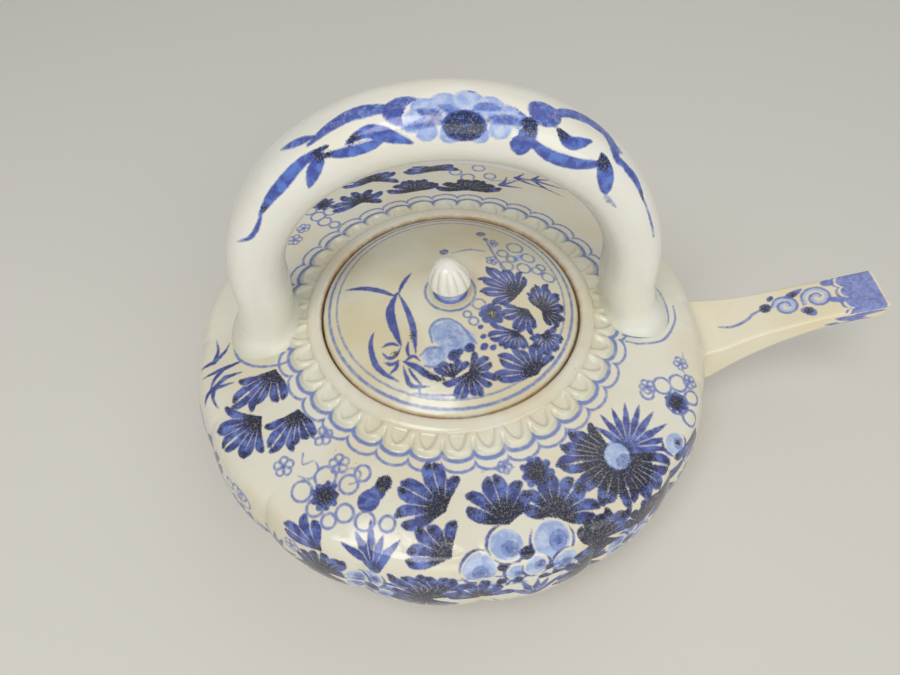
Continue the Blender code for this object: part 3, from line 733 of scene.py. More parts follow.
def garden_front(sheet):
    """The bed of flowers on the front of the shoulder, from left to right."""
    for root, tips in (((-69, -11), [(-70, -3), (-65, -5), (-74, -13)]),
                       ((-66, -14), [(-72, -16), (-69, -21), (-60, -12)]),
                       ((-65, -17), [(-71, -25), (-60, -16)]),
                       ((-68, -20), [(-71, -24), (-66, -27), (-62, -19)])):
        tuft(sheet, root, tips)
    fans(sheet, (((-50.5, -17.5), [(-60, -20), (-62, -24), (-60.5, -28), (-57, -28), (-54, -27), (-50, -27),
            (-46.5, -26)], 2.6, 2.9), ((-53.5, -31.5), [(-64, -28), (-65.5, -32), (-64, -37), (-61.5, -40),
            (-58.5, -41), (-56, -42), (-53, -41)], 2.5, 2.8), ((-43, -31),
            [(-51, -35), (-51, -39), (-48.5, -42), (-45, -41.5), (-41, -39), (-38, -38)], 2.5, 2.7),
            ((-5.5, -60.5), [(-15, -64.5), (-17, -60), (-16.5, -56), (-14.5, -52.5), (-10, -49.5),
            (-6, -49.5), (-2.5, -53)], 3.1, 3.0), ((-5, -71.5), [(-14.5, -73), (-14, -69), (-12.5, -65.5),
            (-8.5, -64.5), (-4, -64)], 3.2, 2.8), ((9.5, -64.5), [(0.5, -62), (1.5, -57), (5, -54.5),
            (9, -53.5), (12.8, -55), (15.5, -58.5)], 3.4, 3.4), ((22, -63.5),
            [(14.5, -62), (16, -57.5), (19, -55), (22.5, -53.8), (26, -54.5), (30, -57), (32.5, -60.5),
            (31, -65)], 3.3, 3.2), ((-9, -84.5), [(-24, -84), (-25, -80), (-21, -77.5), (-16, -76.5),
            (-10, -77), (-4, -79), (0, -81)], 3.2, 2.4), ((31.5, -72), [(27.5, -68), (30, -65.8),
            (33, -64.2), (36, -63.2), (39, -62.8), (42, -63.6), (44, -66.5)], 2.8, 3.2, 1.5),
            ((48, -67), [(41.5, -67), (43, -63.5), (46, -61.2), (49.5, -60.5), (53, -61), (56, -63.5)], 2.8,
            2.8, 1.3), ((25, -84), [(18, -83), (19, -79.5), (22.5, -78), (26.5, -77.5), (30.5, -79),
            (33, -82)], 2.8, 2.6, 1.3), ((-37.5, -68), [(-47, -63.5), (-45, -60), (-41, -59.5), (-37, -61)],
            2.8, 1.6, 0.6)))
    for centre in ((-36, -39), (-46, -46), (-31.5, -47)):
        blossom(sheet, centre, 2.5, 20)
    stroke(sheet, "line", [(-41, -43), (-41, -46), (-38, -45.5), (-37, -48), (-39, -50), (-42, -49)], 0.5)
    stroke(sheet, "line", [(-31, -49), (-28, -48.5), (-26, -50), (-27, -52), (-29, -52.5)], 0.55)
    bubbles(sheet, ((-41, -53, 2.6), (-35, -50, 2.7), (-29, -52.5, 2.4), (-25.5, -50, 2.0), (-34, -61, 1.8),
                    (-30, -59.5, 2.2), (-25, -62, 2.4), (-19.5, -63, 1.9), (-37.5, -57.5, 2.1)))
    berry(sheet, (-35, -54.8), 3.2, 1)
    berry(sheet, (18.6, -52.6), 3.6, 2)
    blots(sheet, "leaf", ((-24, -57, 3.0), (-21.8, -55.2, 2.2)), stretch=1.1, lean=40)
    blot(sheet, "leaf", (-20.2, -53.2), 2.3, 1.2, 40)
    blot(sheet, "dark", (-20.2, -53.2), 2.2, 1.2, 40, 0.5)
    for x, y, size, lean in ((2.3, -76, 4.5, -20), (9.0, -69.8, 4.3, 10), (20.3, -69.2, 5.0, 60),
            (11.6, -77.3, 2.7, 35), (16.4, -75.6, 3.2, 80), (24.5, -75, 3.4, 0), (4.5, -83, 3.2, 50),
            (13, -83, 3.0, 15)):
        bloom(sheet, (x, y), size, lean)
    seeds = ((13.9, -71.8, 1.9), (7.9, -75.4, 1.4), (12.3, -80.3, 1.6), (20.3, -76.4, 1.3), (8, -80.6, 1.5))
    blots(sheet, "leaf", seeds, 1.0, 1.2, 30)
    blots(sheet, "dark", seeds, 0.8, 1.2, 30, 0.5)
    blossom(sheet, (10.5, -51), 1.7)
    stroke(sheet, "line", [(4.5, -52), (7.5, -51.2), (10, -52.5), (13, -51)], 0.45)
    spiky(sheet, (-24, -74), [(-31, -66.5), (-27.5, -64), (-23.5, -61.5), (-20.5, -65.5), (-16.5, -67)],
            3.6)


def garden_right(sheet):
    """The large rosette and its neighbours to the right of the front."""
    heart = (40, -49)
    fan(sheet, heart, [(55.5, -50), (54, -54), (51, -58), (47, -60.5), (43.5, -60), (40, -62), (36.5, -61),
            (33, -60.5), (30, -58), (27, -57), (25.5, -53), (24, -49.5), (26.5, -45.5), (29.5, -42),
            (33.5, -41)], 2.6, 1.2, 5.0)
    blot(sheet, "dark", (34.5, -47.5), 3.2, full=0.3)
    spiky(sheet, (43.5, -46.5), [(35.5, -41), (37.5, -37.5), (41, -35.5), (45, -34), (49, -34.5),
            (52.5, -36.5), (55.5, -40), (56.5, -44), (56, -47.5)], 3.4)
    reserve(sheet, heart, 3.5)
    blot(sheet, "wash", heart, 4.5, 1.1, 20)
    blot(sheet, "leaf", (41.4, -50.2), 2.2, 1.3, 40, 0.02)
    bloom(sheet, (57, -45.5), 3.2, 70, "dark")
    bubbles(sheet, ((57, -28.5, 2.5), (62, -27.5, 2.6), (52, -31, 1.8), (60, -34, 3.0), (65, -32, 2.1),
            (63, -38, 2.3)))
    berry(sheet, (60, -33.5), 2.8, 3)
    for centre in ((52.5, -29), (66, -27), (64.5, -21)):
        blossom(sheet, centre, 2.1, 40)
    stroke(sheet, "line", [(66, -17), (65.5, -20), (64.5, -23), (66, -26), (63, -30)], 0.45)
    fans(sheet, (((66, -41), [(58.5, -50), (62, -49), (67, -48), (71, -44)], 3.2, 2.6),
                 ((55, -58), [(46, -62), (47.5, -67), (53, -68), (58.5, -66.5)], 3.2, 3.0, 1.2),
                 ((36, -71), [(28.5, -76), (31.5, -80), (37, -81), (42, -78), (45, -73)], 3.0, 2.8, 1.1)))


def garden_back(sheet):
    """The bed behind the handle: darker clusters to the left, and grass that thins to the right."""
    blossom(sheet, (-49, 35), 2.4)
    blossom(sheet, (-46.5, 40.5), 2.2, 30)
    bubbles(sheet, ((-42, 46, 2.4), (-39.5, 42.5, 2.2), (-38, 48, 2.2), (-36, 40, 1.7), (-45, 50, 2.2),
                    (10, 62.5, 2.3), (14.5, 69, 2.2), (6, 66.5, 2.1), (18, 63, 2.0)))
    berry(sheet, (-40.5, 53), 3.0, 4)
    fans(sheet, (((-27.5, 51.5), [(-36, 47), (-37, 51), (-34.5, 55), (-30, 57.5), (-25, 58), (-20.5, 55.5),
            (-21, 51)], 3.1, 2.6), ((-24, 64.5), [(-34, 62), (-33.5, 67), (-28, 70.5), (-22, 71), (-16, 68),
            (-15, 63)], 3.0, 2.8), ((-8.5, 55.5), [(-18, 55.5), (-15.5, 59.5), (-10.5, 62), (-5, 61.5),
            (-1, 58)], 3.0, 3.0, 1.1), ((9, 54.5), [(-1, 55.5), (2, 59), (7, 60.5), (13, 60), (18, 57),
            (20.5, 53.5)], 3.0, 3.6, 1.4), ((-2, 68.5), [(-12, 67.5), (-9.5, 73), (-3, 75.5), (3.5, 73.5),
            (6.5, 69)], 3.0, 2.4)))
    tuft(sheet, (21, 57), [(29, 55), (27.5, 60), (24, 63)])
    tuft(sheet, (27, 62), [(36, 55.5), (34.5, 60.5), (31, 66)], 1.4)
    tuft(sheet, (33, 61), [(43, 50), (44.5, 55), (41, 61), (37, 66)], 1.3)
    stroke(sheet, "line", [(18, 60), (26, 60), (34, 60), (42, 56)], 0.6)


def foot_arcs(sheet):
    """The lines that frame the two feet of the handle."""
    for path, width in (([(-63.5, 0), (-63.5, -6), (-61.5, -11.5), (-56.5, -14.8), (-51, -15.6),
            (-46.5, -15)], 0.85), ([(-63.5, 0), (-63.5, 6), (-61, 11.5), (-56, 14.6), (-50, 15.2)], 0.8),
            ([(49, -12), (54, -12.6), (60, -10.6), (64.3, -6), (65.5, 0)], 0.95),
            ([(49.46, -14.3), (54, -14.9), (61.38, -12.9), (66.6, -6), (67.8, 0)], 0.766),
            ([(65.5, 0), (64.3, 6), (60, 10.6), (54, 12.6)], 0.7)):
        stroke(sheet, "line", path, width)


shoulder_sheet = blank(flat_map(shoulder_grid, reach))
for paint in (scallops, foot_arcs, garden_front, garden_right, garden_back):
    paint(shoulder_sheet)


# %% Shoulder piece
def values_of(sheet, pool_and_shade, stain):
    """The attributes of a painted piece: the five loads, the pooled glaze with its painted shade, and the
    iron stain.
    """
    return {**{load: sheet[load] for load in LOADS}, "pool_and_shade": pool_and_shade.ravel(), "stain": stain.ravel()}


radius = np.hypot(shoulder_grid[..., 0], shoulder_grid[..., 1])
# Glaze pooled at the joint round each handle foot. It is kept to the inner side towards the lid, where it is
# painted shade of the handle.
pool_and_shade_at_feet = sum(np.exp(-((np.hypot(shoulder_grid[..., 0] - x, shoulder_grid[...,
        1] * 0.8) - 10.5) / 2.2) ** 2) for x in (-54.5, 55.5))
shoulder_pool_and_shade = np.clip(valley * 0.42 + pool_and_shade_at_feet * 0.30 * (radius < 56) + 0.10 * (radius < 49), 0.0, 0.8)
shoulder_stain = 0.35 * np.exp(-((radius - 41.5) / 1.0) ** 2)
shoulder = grid_piece("shoulder", shoulder_grid, body_glaze, values=values_of(shoulder_sheet, shoulder_pool_and_shade,
        shoulder_stain))
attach(shoulder, "pot")
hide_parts("body_shoulder", "petal_collar")

# %% [markdown]
# ## Side
# The side was thrown with the bowl, and its sixteen lobes were pressed in by hand. It carries the same
# garden, seen almost edge on from above, so its flowers are larger and stand upright in a band under the
# fold. Its map is the side rolled out flat: the distance round by the height.

# %% Side shape
side_z = np.concatenate([np.linspace(SEAM_Z, 18.0, 52), np.linspace(18.0, 5.6, 24)[1:],
        [5.2, FOOT_Z + 0.3]])
side_outline = np.stack([side_radius(side_z), side_z], axis=-1)
side_outline = np.vstack([side_outline, [[FLOOR_R - 0.4, FOOT_Z + 0.2], [FLOOR_R - 6.0, FOOT_Z + 0.2]]])
side_grid = turned(side_outline, ROUND)
side_grid = lobed(side_grid, smooth(7.0, 20.0, side_outline[:, 1:]) * np.ones(ROUND))
side_steps = np.concatenate([[0.0], np.cumsum(np.linalg.norm(np.diff(side_outline, axis=0), axis=1))])


# %% Painting on the side
def round_map(grid, radius):
    """The side rolled out: bearing times the widest radius, and the height."""
    bearing = np.arctan2(grid[..., 1], grid[..., 0])
    return np.stack([bearing * radius, grid[..., 2]], axis=-1).reshape(-1, 2)


def at(bearing, z):
    """The rolled-out place of a bearing in degrees and a height in mm."""
    return (math.radians(bearing) * WIDE_R, z)


BAND_Z = 33.0      # mm, middle of the painted band


def garden_side(sheet, start, end, seed):
    """A band of fans, blooms and grass round the side, from one bearing to the other."""
    rng = np.random.default_rng(seed)
    bearing = start
    number = 0
    while bearing < end:
        kind = number % 5
        draw = seed + number
        z = BAND_Z + rng.uniform(-3.0, 3.0)
        heart, low_heart = at(bearing, z), at(bearing, z - 6)
        if kind in (0, 2):
            fan(sheet, heart, spread(heart, 8.6, 15, 320, 11, draw), heart_r=3.2)
        elif kind == 1:
            peony(sheet, at(bearing, z - 1), 7.0, rng.uniform(0, 60))
        elif kind == 3:
            fan(sheet, low_heart, spread(low_heart, 8.0, 20, 165, 6, draw), 2.9)
            bubbles(sheet, [(heart[0] + rng.uniform(-6, 6), z + rng.uniform(3, 7), rng.uniform(1.6, 2.5))
                            for _ in range(4)])
        else:
            spiky(sheet, at(bearing, z - 5), spread(at(bearing, z - 5), 9.0, 40, 140, 5, draw))
            blossom(sheet, at(bearing + 5, z + 5))
        root = at(bearing + 4, 20.0 + rng.uniform(-2.0, 3.0))
        tuft(sheet, root, spread(root, 8.0, 55, 125, 4, draw), 1.6)
        bearing += 10.5 + rng.uniform(-1.0, 1.5)
        number += 1


def side_lines(sheet):
    """Two painted rings low on the side."""
    for z, width in ((11.0, 0.8), (9.2, 0.45)):
        sheet["line"] = np.maximum(sheet["line"], width / 2 - np.abs(sheet["flat"][:, 1] - z))


side_sheet = blank(round_map(side_grid, WIDE_R))
garden_side(side_sheet, -172.0, -28.0, 30)
garden_side(side_sheet, 62.0, 150.0, 60)
side_lines(side_sheet)
over_fold = blank(flat_map(side_grid, SEAM_REACH + side_steps))
for paint in (garden_front, garden_right, garden_back):
    paint(over_fold)
upper = side_grid[..., 2].ravel() > 35.5      # the shoulder's own flowers run down to here
for load in LOADS:
    side_sheet[load] = np.where(upper, np.maximum(over_fold[load], side_sheet[load]), side_sheet[load])
side_pool = 0.30 * np.exp(-(across_lobe(side_grid) / 0.10) ** 2) + 0.35 * smooth(9.0, 6.0,
        side_grid[..., 2])
side = grid_piece("side", side_grid, body_glaze, values=values_of(side_sheet, side_pool,
        np.zeros(side_pool.shape)))
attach(side, "pot")
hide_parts("body_bowl")

# %% [markdown]
# ## Inside, foot ring and seat
# The inside is a plain glazed hollow that shows only when the lid is off. The foot ring is bare clay,
# wiped clean of glaze so that the pot doesn't stick to the kiln shelf. The seat is a low wall with a
# rounded top and a ledge inside it, and iron has burnt brown along its inner edge.

# %% Inside
WALL = 3.5
INSIDE_Z = 9.0      # mm, height of the inside of the floor
LEDGE_Z, LEDGE_R = 47.5, 31.0
dome = [(r, float(shoulder_z(r)) - WALL) for r in np.linspace(LEDGE_R + 0.4, 68.0, 14)]
cup = [(float(side_radius(z)) - WALL, z) for z in np.linspace(41.0, WIDE_Z, 10)]
bottom = [(FLOOR_R + (WIDE_R - WALL - FLOOR_R) * math.cos(a), WIDE_Z - (WIDE_Z - INSIDE_Z) * math.sin(a))
          for a in np.linspace(0.0, math.pi / 2, 14)[1:]]
hollow_path = even(np.array(dome + cup + bottom + [(24.0, INSIDE_Z), (2.0, INSIDE_Z)]), 3.0)[::-1]
hollow_grid = turned(hollow_path, 128)
inside = grid_piece("inside", hollow_grid, inner_glaze, poles=((0.0, 0.0, INSIDE_Z), None))
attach(inside, "pot")


# %% Rounded profiles
def rounded(corners, radius, parts=5):
    """A closed outline with its corners rounded: each corner becomes a quadratic arc that starts and ends
    the radius away along its two edges."""
    corners = np.asarray(corners, float)
    out = []
    for before, corner, after in zip(np.roll(corners, 1, axis=0), corners, np.roll(corners, -1, axis=0)):
        one, two = before - corner, after - corner
        cut = min(radius, np.linalg.norm(one) * 0.45, np.linalg.norm(two) * 0.45)
        a, b = corner + one / np.linalg.norm(one) * cut, corner + two / np.linalg.norm(two) * cut
        t = np.linspace(0.0, 1.0, parts)[:, None]
        out.append((1 - t) ** 2 * a + 2 * t * (1 - t) * corner + t ** 2 * b)
    return np.vstack(out)


# %% Foot ring
FOOT_R, FOOT_INNER_R = cad("foot_ring")[1][0], 45.5
foot_outline = rounded([(FOOT_INNER_R, FOOT_Z + 0.4), (FOOT_R, FOOT_Z + 0.4), (FOOT_R - 0.5, 0.0),
                        (FOOT_INNER_R + 0.4, 0.0)], 1.0, 6)
foot = grid_piece("foot", turned(foot_outline, 192), biscuit, loop=True)
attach(foot, "pot")
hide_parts("foot_ring")

# %% Seat
seat_outline = rounded([(LEDGE_R, LEDGE_Z - 2.6), (LEDGE_R, LEDGE_Z), (SEAT_INNER_R, LEDGE_Z),
        (SEAT_INNER_R, SEAT_TOP), (SEAT_R - 0.3, SEAT_TOP - 0.1), (SEAT_R + 1.4, shoulder_z(SEAT_R) + 1.05),
        (SEAT_R + 1.6, shoulder_z(SEAT_R) - 2.5)], 1.1, 9)
seat_grid = turned(even(np.vstack([seat_outline, seat_outline[:1]]), 0.42)[:-1], 504)
seat_r = np.hypot(seat_grid[..., 0], seat_grid[..., 1])
seat_stain = (0.50 * np.exp(-((seat_r - SEAT_INNER_R) / 0.40) ** 2) + 0.10
        * np.exp(-((seat_r - 39.0) / 1.2) ** 2) + 0.22 * (seat_r < SEAT_INNER_R - 0.05) * (seat_grid[...,
        2] > LEDGE_Z - 0.5))
seat_pool = 0.25 * smooth(40.0, 42.0, seat_r)
seat = grid_piece("seat", seat_grid, body_glaze, loop=True,
                  values=values_of(blank(seat_grid[..., :2].reshape(-1, 2)), seat_pool, seat_stain))
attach(seat, "pot")
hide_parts("lid_seat")

# %% [markdown]
# ## Lid
# The lid is a shallow dome whose top is flatter than a parabola. It was turned thin at the rim, where the
# clay shows through as a brown edge. An orchid grows on the left of its painting, and a bed of
# chrysanthemums round a pale rock fills the front and right.

# %% Lid shape
LID_R = cad("lid_dome")[1][0]
LID_TOP = cad("lid_dome")[1][2]
LID_RIM, LID_POWER, UNDER_TOP = 50.8, 2.6, 53.0


def crown_z(r):
    """Height of the lid's top: rim + rise * (1 - (r / lid radius)^2.6)."""
    return LID_RIM + (LID_TOP - LID_RIM) * (1.0 - (np.abs(r) / LID_R) ** LID_POWER)


edge_r = LID_R - 0.9
top_r = np.linspace(0.5, edge_r, 200)
top = np.stack([top_r, crown_z(top_r)], axis=-1)
t = np.linspace(0.0, 1.0, 12)[:, None]
lip_low = np.array([LID_R, LID_RIM - 0.9])
lip = (1 - t) ** 2 * top[-1] + 2 * t * (1 - t) * np.array([LID_R, LID_RIM]) + t ** 2 * lip_low
under = np.array([[LID_R, 48.0], [LID_R - 0.3, 47.8], [31.0, 47.8], [26.0, 49.6], [19.0, 51.2],
        [10.0, 52.6], [1.0, UNDER_TOP]])
lid_outline = np.vstack([even(np.vstack([top, lip[1:]]), 0.44), even(under, 2.2)])
lid_grid = turned(lid_outline, 504)


# %% Painting on the lid
def lid_orchid(sheet):
    """The orchid on the left: long arched blades, a small flower and the tangle it grows from."""
    for path, width in (([(-30.8, 6.4), (-25, 5), (-19.8, 2.5), (-15.5, -0.5)], 1.7),
                        ([(-11, 8.2), (-13.2, 4.9), (-15.2, 0)], 1.275),
                        ([(-15.3, 1), (-17.1, -3.7), (-17.2, -7.3), (-16.2, -11.8), (-14.5, -17)], 2.72),
                        ([(-14.8, 0.5), (-12.6, -5.5), (-11.2, -11), (-10.8, -15), (-10.6, -19.5)], 1.87),
                        ([(-22.1, -11.5), (-23, -15), (-22.1, -20.1), (-19.8, -23.7), (-15.5, -26.9)], 1.7),
                        ([(-14.1, -21.6), (-10.5, -23.8), (-7.3, -26.4), (-3, -28)], 2.04),
                        ([(-14.1, -23), (-13.4, -26), (-12, -28.6), (-7.3, -29.2)], 1.275),
                        ([(-12.9, -23.5), (-11.5, -26), (-9.5, -28.5)], 0.85),
                        ([(-19.8, -16.6), (-17.5, -15.9), (-14.7, -17)], 1.05),
                        ([(-19.9, -18), (-18.3, -19.9), (-16.2, -19.8), (-14.6, -17.5)], 1.05),
                        ([(-19.4, -21), (-17.4, -21.9), (-15, -21.2)], 1.05),
                        ([(-12.5, -16), (-12.9, -18.5), (-12.3, -21)], 1.05),
                        ([(-14, -22), (-11.5, -20.5), (-9.5, -22)], 1.05),
                        ([(-18, -24.5), (-16, -23), (-15.5, -21)], 1.05)):
        stroke(sheet, "leaf", path, width, "blade")
    blot(sheet, "dark", (-16.2, -19.1), 0.8, full=0.3)
    blot(sheet, "dark", (-11.3, -14.4), 0.7, 0.6, full=0.0)
    stroke(sheet, "dark", [(-9, -24.8), (-6, -27), (-3, -28)], 1.3, "blade", 0.4)
    stroke(sheet, "line", [(-12, -30.5), (-6, -31.6), (0, -32)], 0.7)
    stroke(sheet, "line", [(-10, -28), (-10.2, -31.5)], 0.7)


def lid_garden(sheet):
    """The chrysanthemums on the right of the lid, with buds, bubbles and plum blossom between them."""
    fans(sheet, (((19.5, -1), [(14, -5.5), (11.5, -4.5), (9.8, -2), (9, 0.5), (9.4, 3), (9.2, 5.2),
            (10.5, 8), (13, 9.2), (15.5, 7.5), (18, 8), (20.5, 7.5), (22.5, 5)], 1.9, 2.6),
            ((26, -6.5), [(22.5, -2.5), (23.5, 1), (26, 2.5), (27.8, 3.8), (29.3, 1.6), (31.8, -0.8),
            (32, -3.5), (32.2, -5.5), (31.9, -8), (30, -10.8), (27, -11)], 1.9, 2.4, 1.1),
            ((21.3, -7), [(14.5, -5.5), (14, -8), (15.2, -10.5), (16.5, -13), (18.6, -14.5), (21, -14.8),
            (23, -12.5)], 1.9, 2.2, 0.9), ((21.5, -26), [(11.2, -28.8), (9.6, -26.6), (12, -24),
            (12.5, -20.8), (15.5, -19.3), (18.5, -20), (21, -18.3), (24, -18), (26.3, -20.5)], 2.1, 2.4),
            ((3.5, -26.3), [(-3, -29.5), (-1, -32), (1.5, -32.8), (4, -32), (6.5, -32), (8.5, -30),
            (10.3, -27.5), (9.4, -24.5), (8.2, -22), (5.6, -21)], 2.0, 2.2, 0.9),
            ((17.5, -14.5), [(10.5, -12.5), (9.5, -15), (10.5, -17.5), (13.5, -19), (17, -19.5),
            (20, -18.5)], 1.8, 1.4, 0.8), ((25.5, -14.5), [(21.5, -16.5), (22.5, -19.5), (26, -20.5),
            (29, -18), (30.5, -14.5), (29, -12)], 1.8, 1.4, 0.8), ((-1, -27),
            [(-5.8, -24.6), (-3.5, -23), (-1.5, -24), (0.8, -22.8), (3, -23.5)], 2.1, 1.8, 0.8)))
    for k in range(8):
        blot(sheet, "leaf", polar((11.1, -8.7), 2.5, 45 * k), 1.3, full=0.3)
    blot(sheet, "dark", (11.1, -8.5), 1.7, full=0.5)
    for x, y, size in ((23.3, -15.6, 1.4), (25.5, -16.8, 1.2), (26.5, -13.8, 1.3), (28, -14.2, 0.9),
            (24.3, -19, 1.3), (15, -16.5, 0.9), (18, -17, 0.9), (12, -17, 1.0), (8, -16, 1.0),
            (13.5, -13.5, 0.9), (10.5, -19.3, 1.1), (8, -19.1, 1.3), (7.5, -13, 0.9), (14, -19, 0.9)):
        blot(sheet, "leaf", (x, y), size, 1.3, 40 * size, 0.4)
    lid_rock(sheet)
    bubbles(sheet, ((21, 19, 2.4), (24.5, 14.5, 2.0), (17.4, 9.8, 1.9), (22.5, 9.4, 2.0), (16.8, 15.5, 1.6),
            (26.5, 9, 1.5), (29.6, 6.8, 1.9), (28, 10.8, 1.3), (7.8, -5.2, 1.8), (5.8, -11, 1.3),
            (4.2, -8.6, 1.1), (19.2, 13.2, 1.4)), 0.65)
    blot(sheet, "wash", (21.3, 13.9), 1.9, 1.5, 40)
    for centre in ((14.2, 20.5), (13.2, 12)):
        blossom(sheet, centre, 1.7)
    blots(sheet, "leaf", ((11.1, 25.5, 1.5), (-0.9, 16.3, 1.4), (12.2, 22.5, 0.8)), 1.0, 1.1, 20, 0.12)
    stroke(sheet, "line", [(12, 23), (13, 19), (14, 15), (15.5, 11), (17, 8)], 0.75)
    stroke(sheet, "line", [(1.5, 15.6), (6.8, 17), (11.5, 16.2)], 0.6)


def lid_rock(sheet):
    """The pale rock, a wash with a thin second coat, kept clear of the leaves, and the buds below it."""
    rock = (((-1.5, -14.6), 5.0, -35), ((2.2, -17.0), 3.7, 10), ((-5.4, -21.0), 3.4, 20),
            ((-1.5, -19), 3.2, 0))
    for centre, radius, _ in rock:
        reserve(sheet, centre, radius)
    for centre, radius, lean in rock:
        blot(sheet, "wash", centre, radius, 1.15, lean)
        blot(sheet, "leaf", centre, radius * 0.8, 1.15, lean, -0.12)
    blot(sheet, "leaf", (0.3, -15.2), 2.6, 1.4, -60, -0.08)
    for path in ([(-6, -17), (-6.5, -13), (-4.5, -10.3), (-1, -9.9), (2, -11.8)],
            [(2, -11.8), (4, -15), (6, -18)], [(-9.5, -20.6), (-7, -18.6), (-4, -18.8)],
            [(-8.5, -23.6), (-5.5, -24.2), (-3, -23)]):
        stroke(sheet, "line", path, 0.75)
    buds = ((4, -19.3, 1.6), (-0.3, -21.3, 1.9), (1.2, -20.4, 1.2), (-3.5, -24, 1.3))
    blots(sheet, "leaf", buds, 1.0, 1.2, 30)
    blots(sheet, "dark", buds, 0.5, full=0.1)


lid_sheet = blank(lid_grid[..., :2].reshape(-1, 2))
for radius, width in ((35.4, 0.85), (33.1, 0.55), (7.2, 0.75)):
    ring(lid_sheet, (0, 0), radius, width)
lid_orchid(lid_sheet)
lid_garden(lid_sheet)
hidden = np.repeat(lid_outline[:, 1] < crown_z(lid_outline[:, 0]) - 0.6, lid_grid.shape[1])
for load in LOADS:
    lid_sheet[load][hidden] = FAR
lid_r = np.hypot(lid_grid[..., 0], lid_grid[..., 1])
lid_stain = 0.55 * smooth(LID_R - 0.75, LID_R - 0.15, lid_r) + 0.25 * np.exp(-((lid_r - 5.2) / 0.6) ** 2)
lid_pool = 0.25 * np.exp(-((lid_r - 6.0) / 1.3) ** 2) + 0.10 * smooth(20.0, 34.0, lid_r)
lid = grid_piece("lid", lid_grid, lid_glaze, poles=((0.0, 0.0, LID_TOP), (0.0, 0.0, UNDER_TOP)),
                 values=values_of(lid_sheet, lid_pool, lid_stain))
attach(lid, "lid")
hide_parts("lid_dome")

# %% Flange
flange_low, flange_high = cad("lid_flange")
flange_outline = rounded([(flange_high[0] - 3.0, 49.0), (flange_high[0], 48.0),
        (flange_high[0], flange_low[2]), (flange_high[0] - 3.0, flange_low[2])], 0.7, 5)
flange = grid_piece("flange", turned(flange_outline, 160), biscuit, loop=True)
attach(flange, "lid")
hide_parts("lid_flange")

# %% [markdown]
# ## Knob
# A small fluted bud on a waisted stem. Its flutes were pressed with a tool, so they are sharp valleys
# between round ribs, which die out at the tip. The stem is washed with blue, and the bud's lower edge is
# burnt brown where the glaze drew back from it.

# %% Knob shape and painting
FLUTES = 11
stem_low, bud_low = cad("knob_stem")[0][2] - 0.5, cad("knob_bud")[0][2]
bud_top = cad("knob_bud")[1][2]
knob_path = [(5.0, stem_low), (4.9, stem_low + 0.8), (4.3, stem_low + 1.6), (4.1, bud_low - 0.5),
        (4.5, bud_low + 0.1), (5.5, bud_low + 0.5), (6.05, bud_low + 1.3), (6.0, bud_low + 2.2),
        (5.4, bud_low + 4.0), (4.5, bud_low + 5.8), (3.3, bud_low + 7.4), (1.9, bud_low + 8.3),
        (0.4, bud_top - 0.05)]
knob_outline = even(through(knob_path, 9), 0.22)[::-1]
knob_grid = turned(knob_outline, 132)
height = knob_grid[..., 2]
angle = np.arctan2(knob_grid[..., 1], knob_grid[..., 0])
rib = np.abs(np.sin(angle * FLUTES / 2))
flute = smooth(bud_low + 0.6, bud_low + 2.2, height) * smooth(bud_top + 0.2, bud_top - 3.0, height)
knob_grid[..., :2] *= (1 - 0.115 * flute * (1 - rib) ** 1.3)[..., None]
knob_grid[..., 0] -= 0.12 * np.clip(height - bud_low, 0.0, None)
knob_sheet = blank(np.stack([angle * 6.0, height], axis=-1).reshape(-1, 2))
knob_sheet["wash"] = 1.2 - np.abs(height.ravel() - stem_low - 1.9)
knob_sheet["line"] = 0.55 - np.abs(height.ravel() - stem_low - 0.8)
knob_stain = 0.7 * np.exp(-((height - bud_low - 0.6) / 0.45) ** 2) + 0.10 * flute * (rib < 0.25)
knob = grid_piece("knob", knob_grid, whiter_glaze_with_painted_light, poles=((-1.0, 0.0, bud_top), (0.0, 0.0, stem_low)),
                  values=values_of(knob_sheet, 0.2 * flute * (1 - rib), knob_stain))
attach(knob, "lid")
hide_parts("knob_stem", "knob_bud")

# %% [markdown]
# ## Handle
# The handle is a thick strap of clay, a rounded square in section, bent over in an arch and luted to the
# shoulder with a wet fillet at each foot. It is one surface here: a section carried along the arch, which
# spreads at each end and comes down on the shoulder's own curve. Its glaze is whiter than the body's, and
# is made lighter still as painted light, for the brighter light that falls on it. Its map is the distance
# along the arch by the distance round the section from the outer face.

# %% Handle shape
APEX_X, APEX_Z = -2.0, 115.5
SPRINGS = {-1: (-51.7, 66.4, 3.5), 1: (50.0, 63.5, 6.5)}      # side: x, z, splay of the leg
HALF_THICK, HALF_WIDE, SQUARE = 7.4, 9.4, 2.4
BURIED = 0.8            # how far the foot's edge goes under the glaze of the shoulder


def leg_x(side, z):
    """Middle of a leg: it moves out by its splay times (share of the way down)^1.6."""
    x, spring_z, splay = SPRINGS[side]
    return x + side * splay * np.clip((spring_z - z) / (spring_z - FOLD_Z), 0.0, 1.0) ** 1.6


def half_arch(side):
    """One half of the centreline, from its foot to the top: the leg, then a quarter ellipse."""
    x, spring_z, _ = SPRINGS[side]
    leg_z = np.linspace(46.5, spring_z, 40)[:-1]
    leg = np.stack([leg_x(side, leg_z), leg_z], axis=-1)
    a = np.linspace(0.0, np.pi / 2, 120)
    arc = np.stack([APEX_X + (x - APEX_X) * np.cos(a), spring_z + (APEX_Z - spring_z) * np.sin(a)], axis=-1)
    return np.vstack([leg, arc])


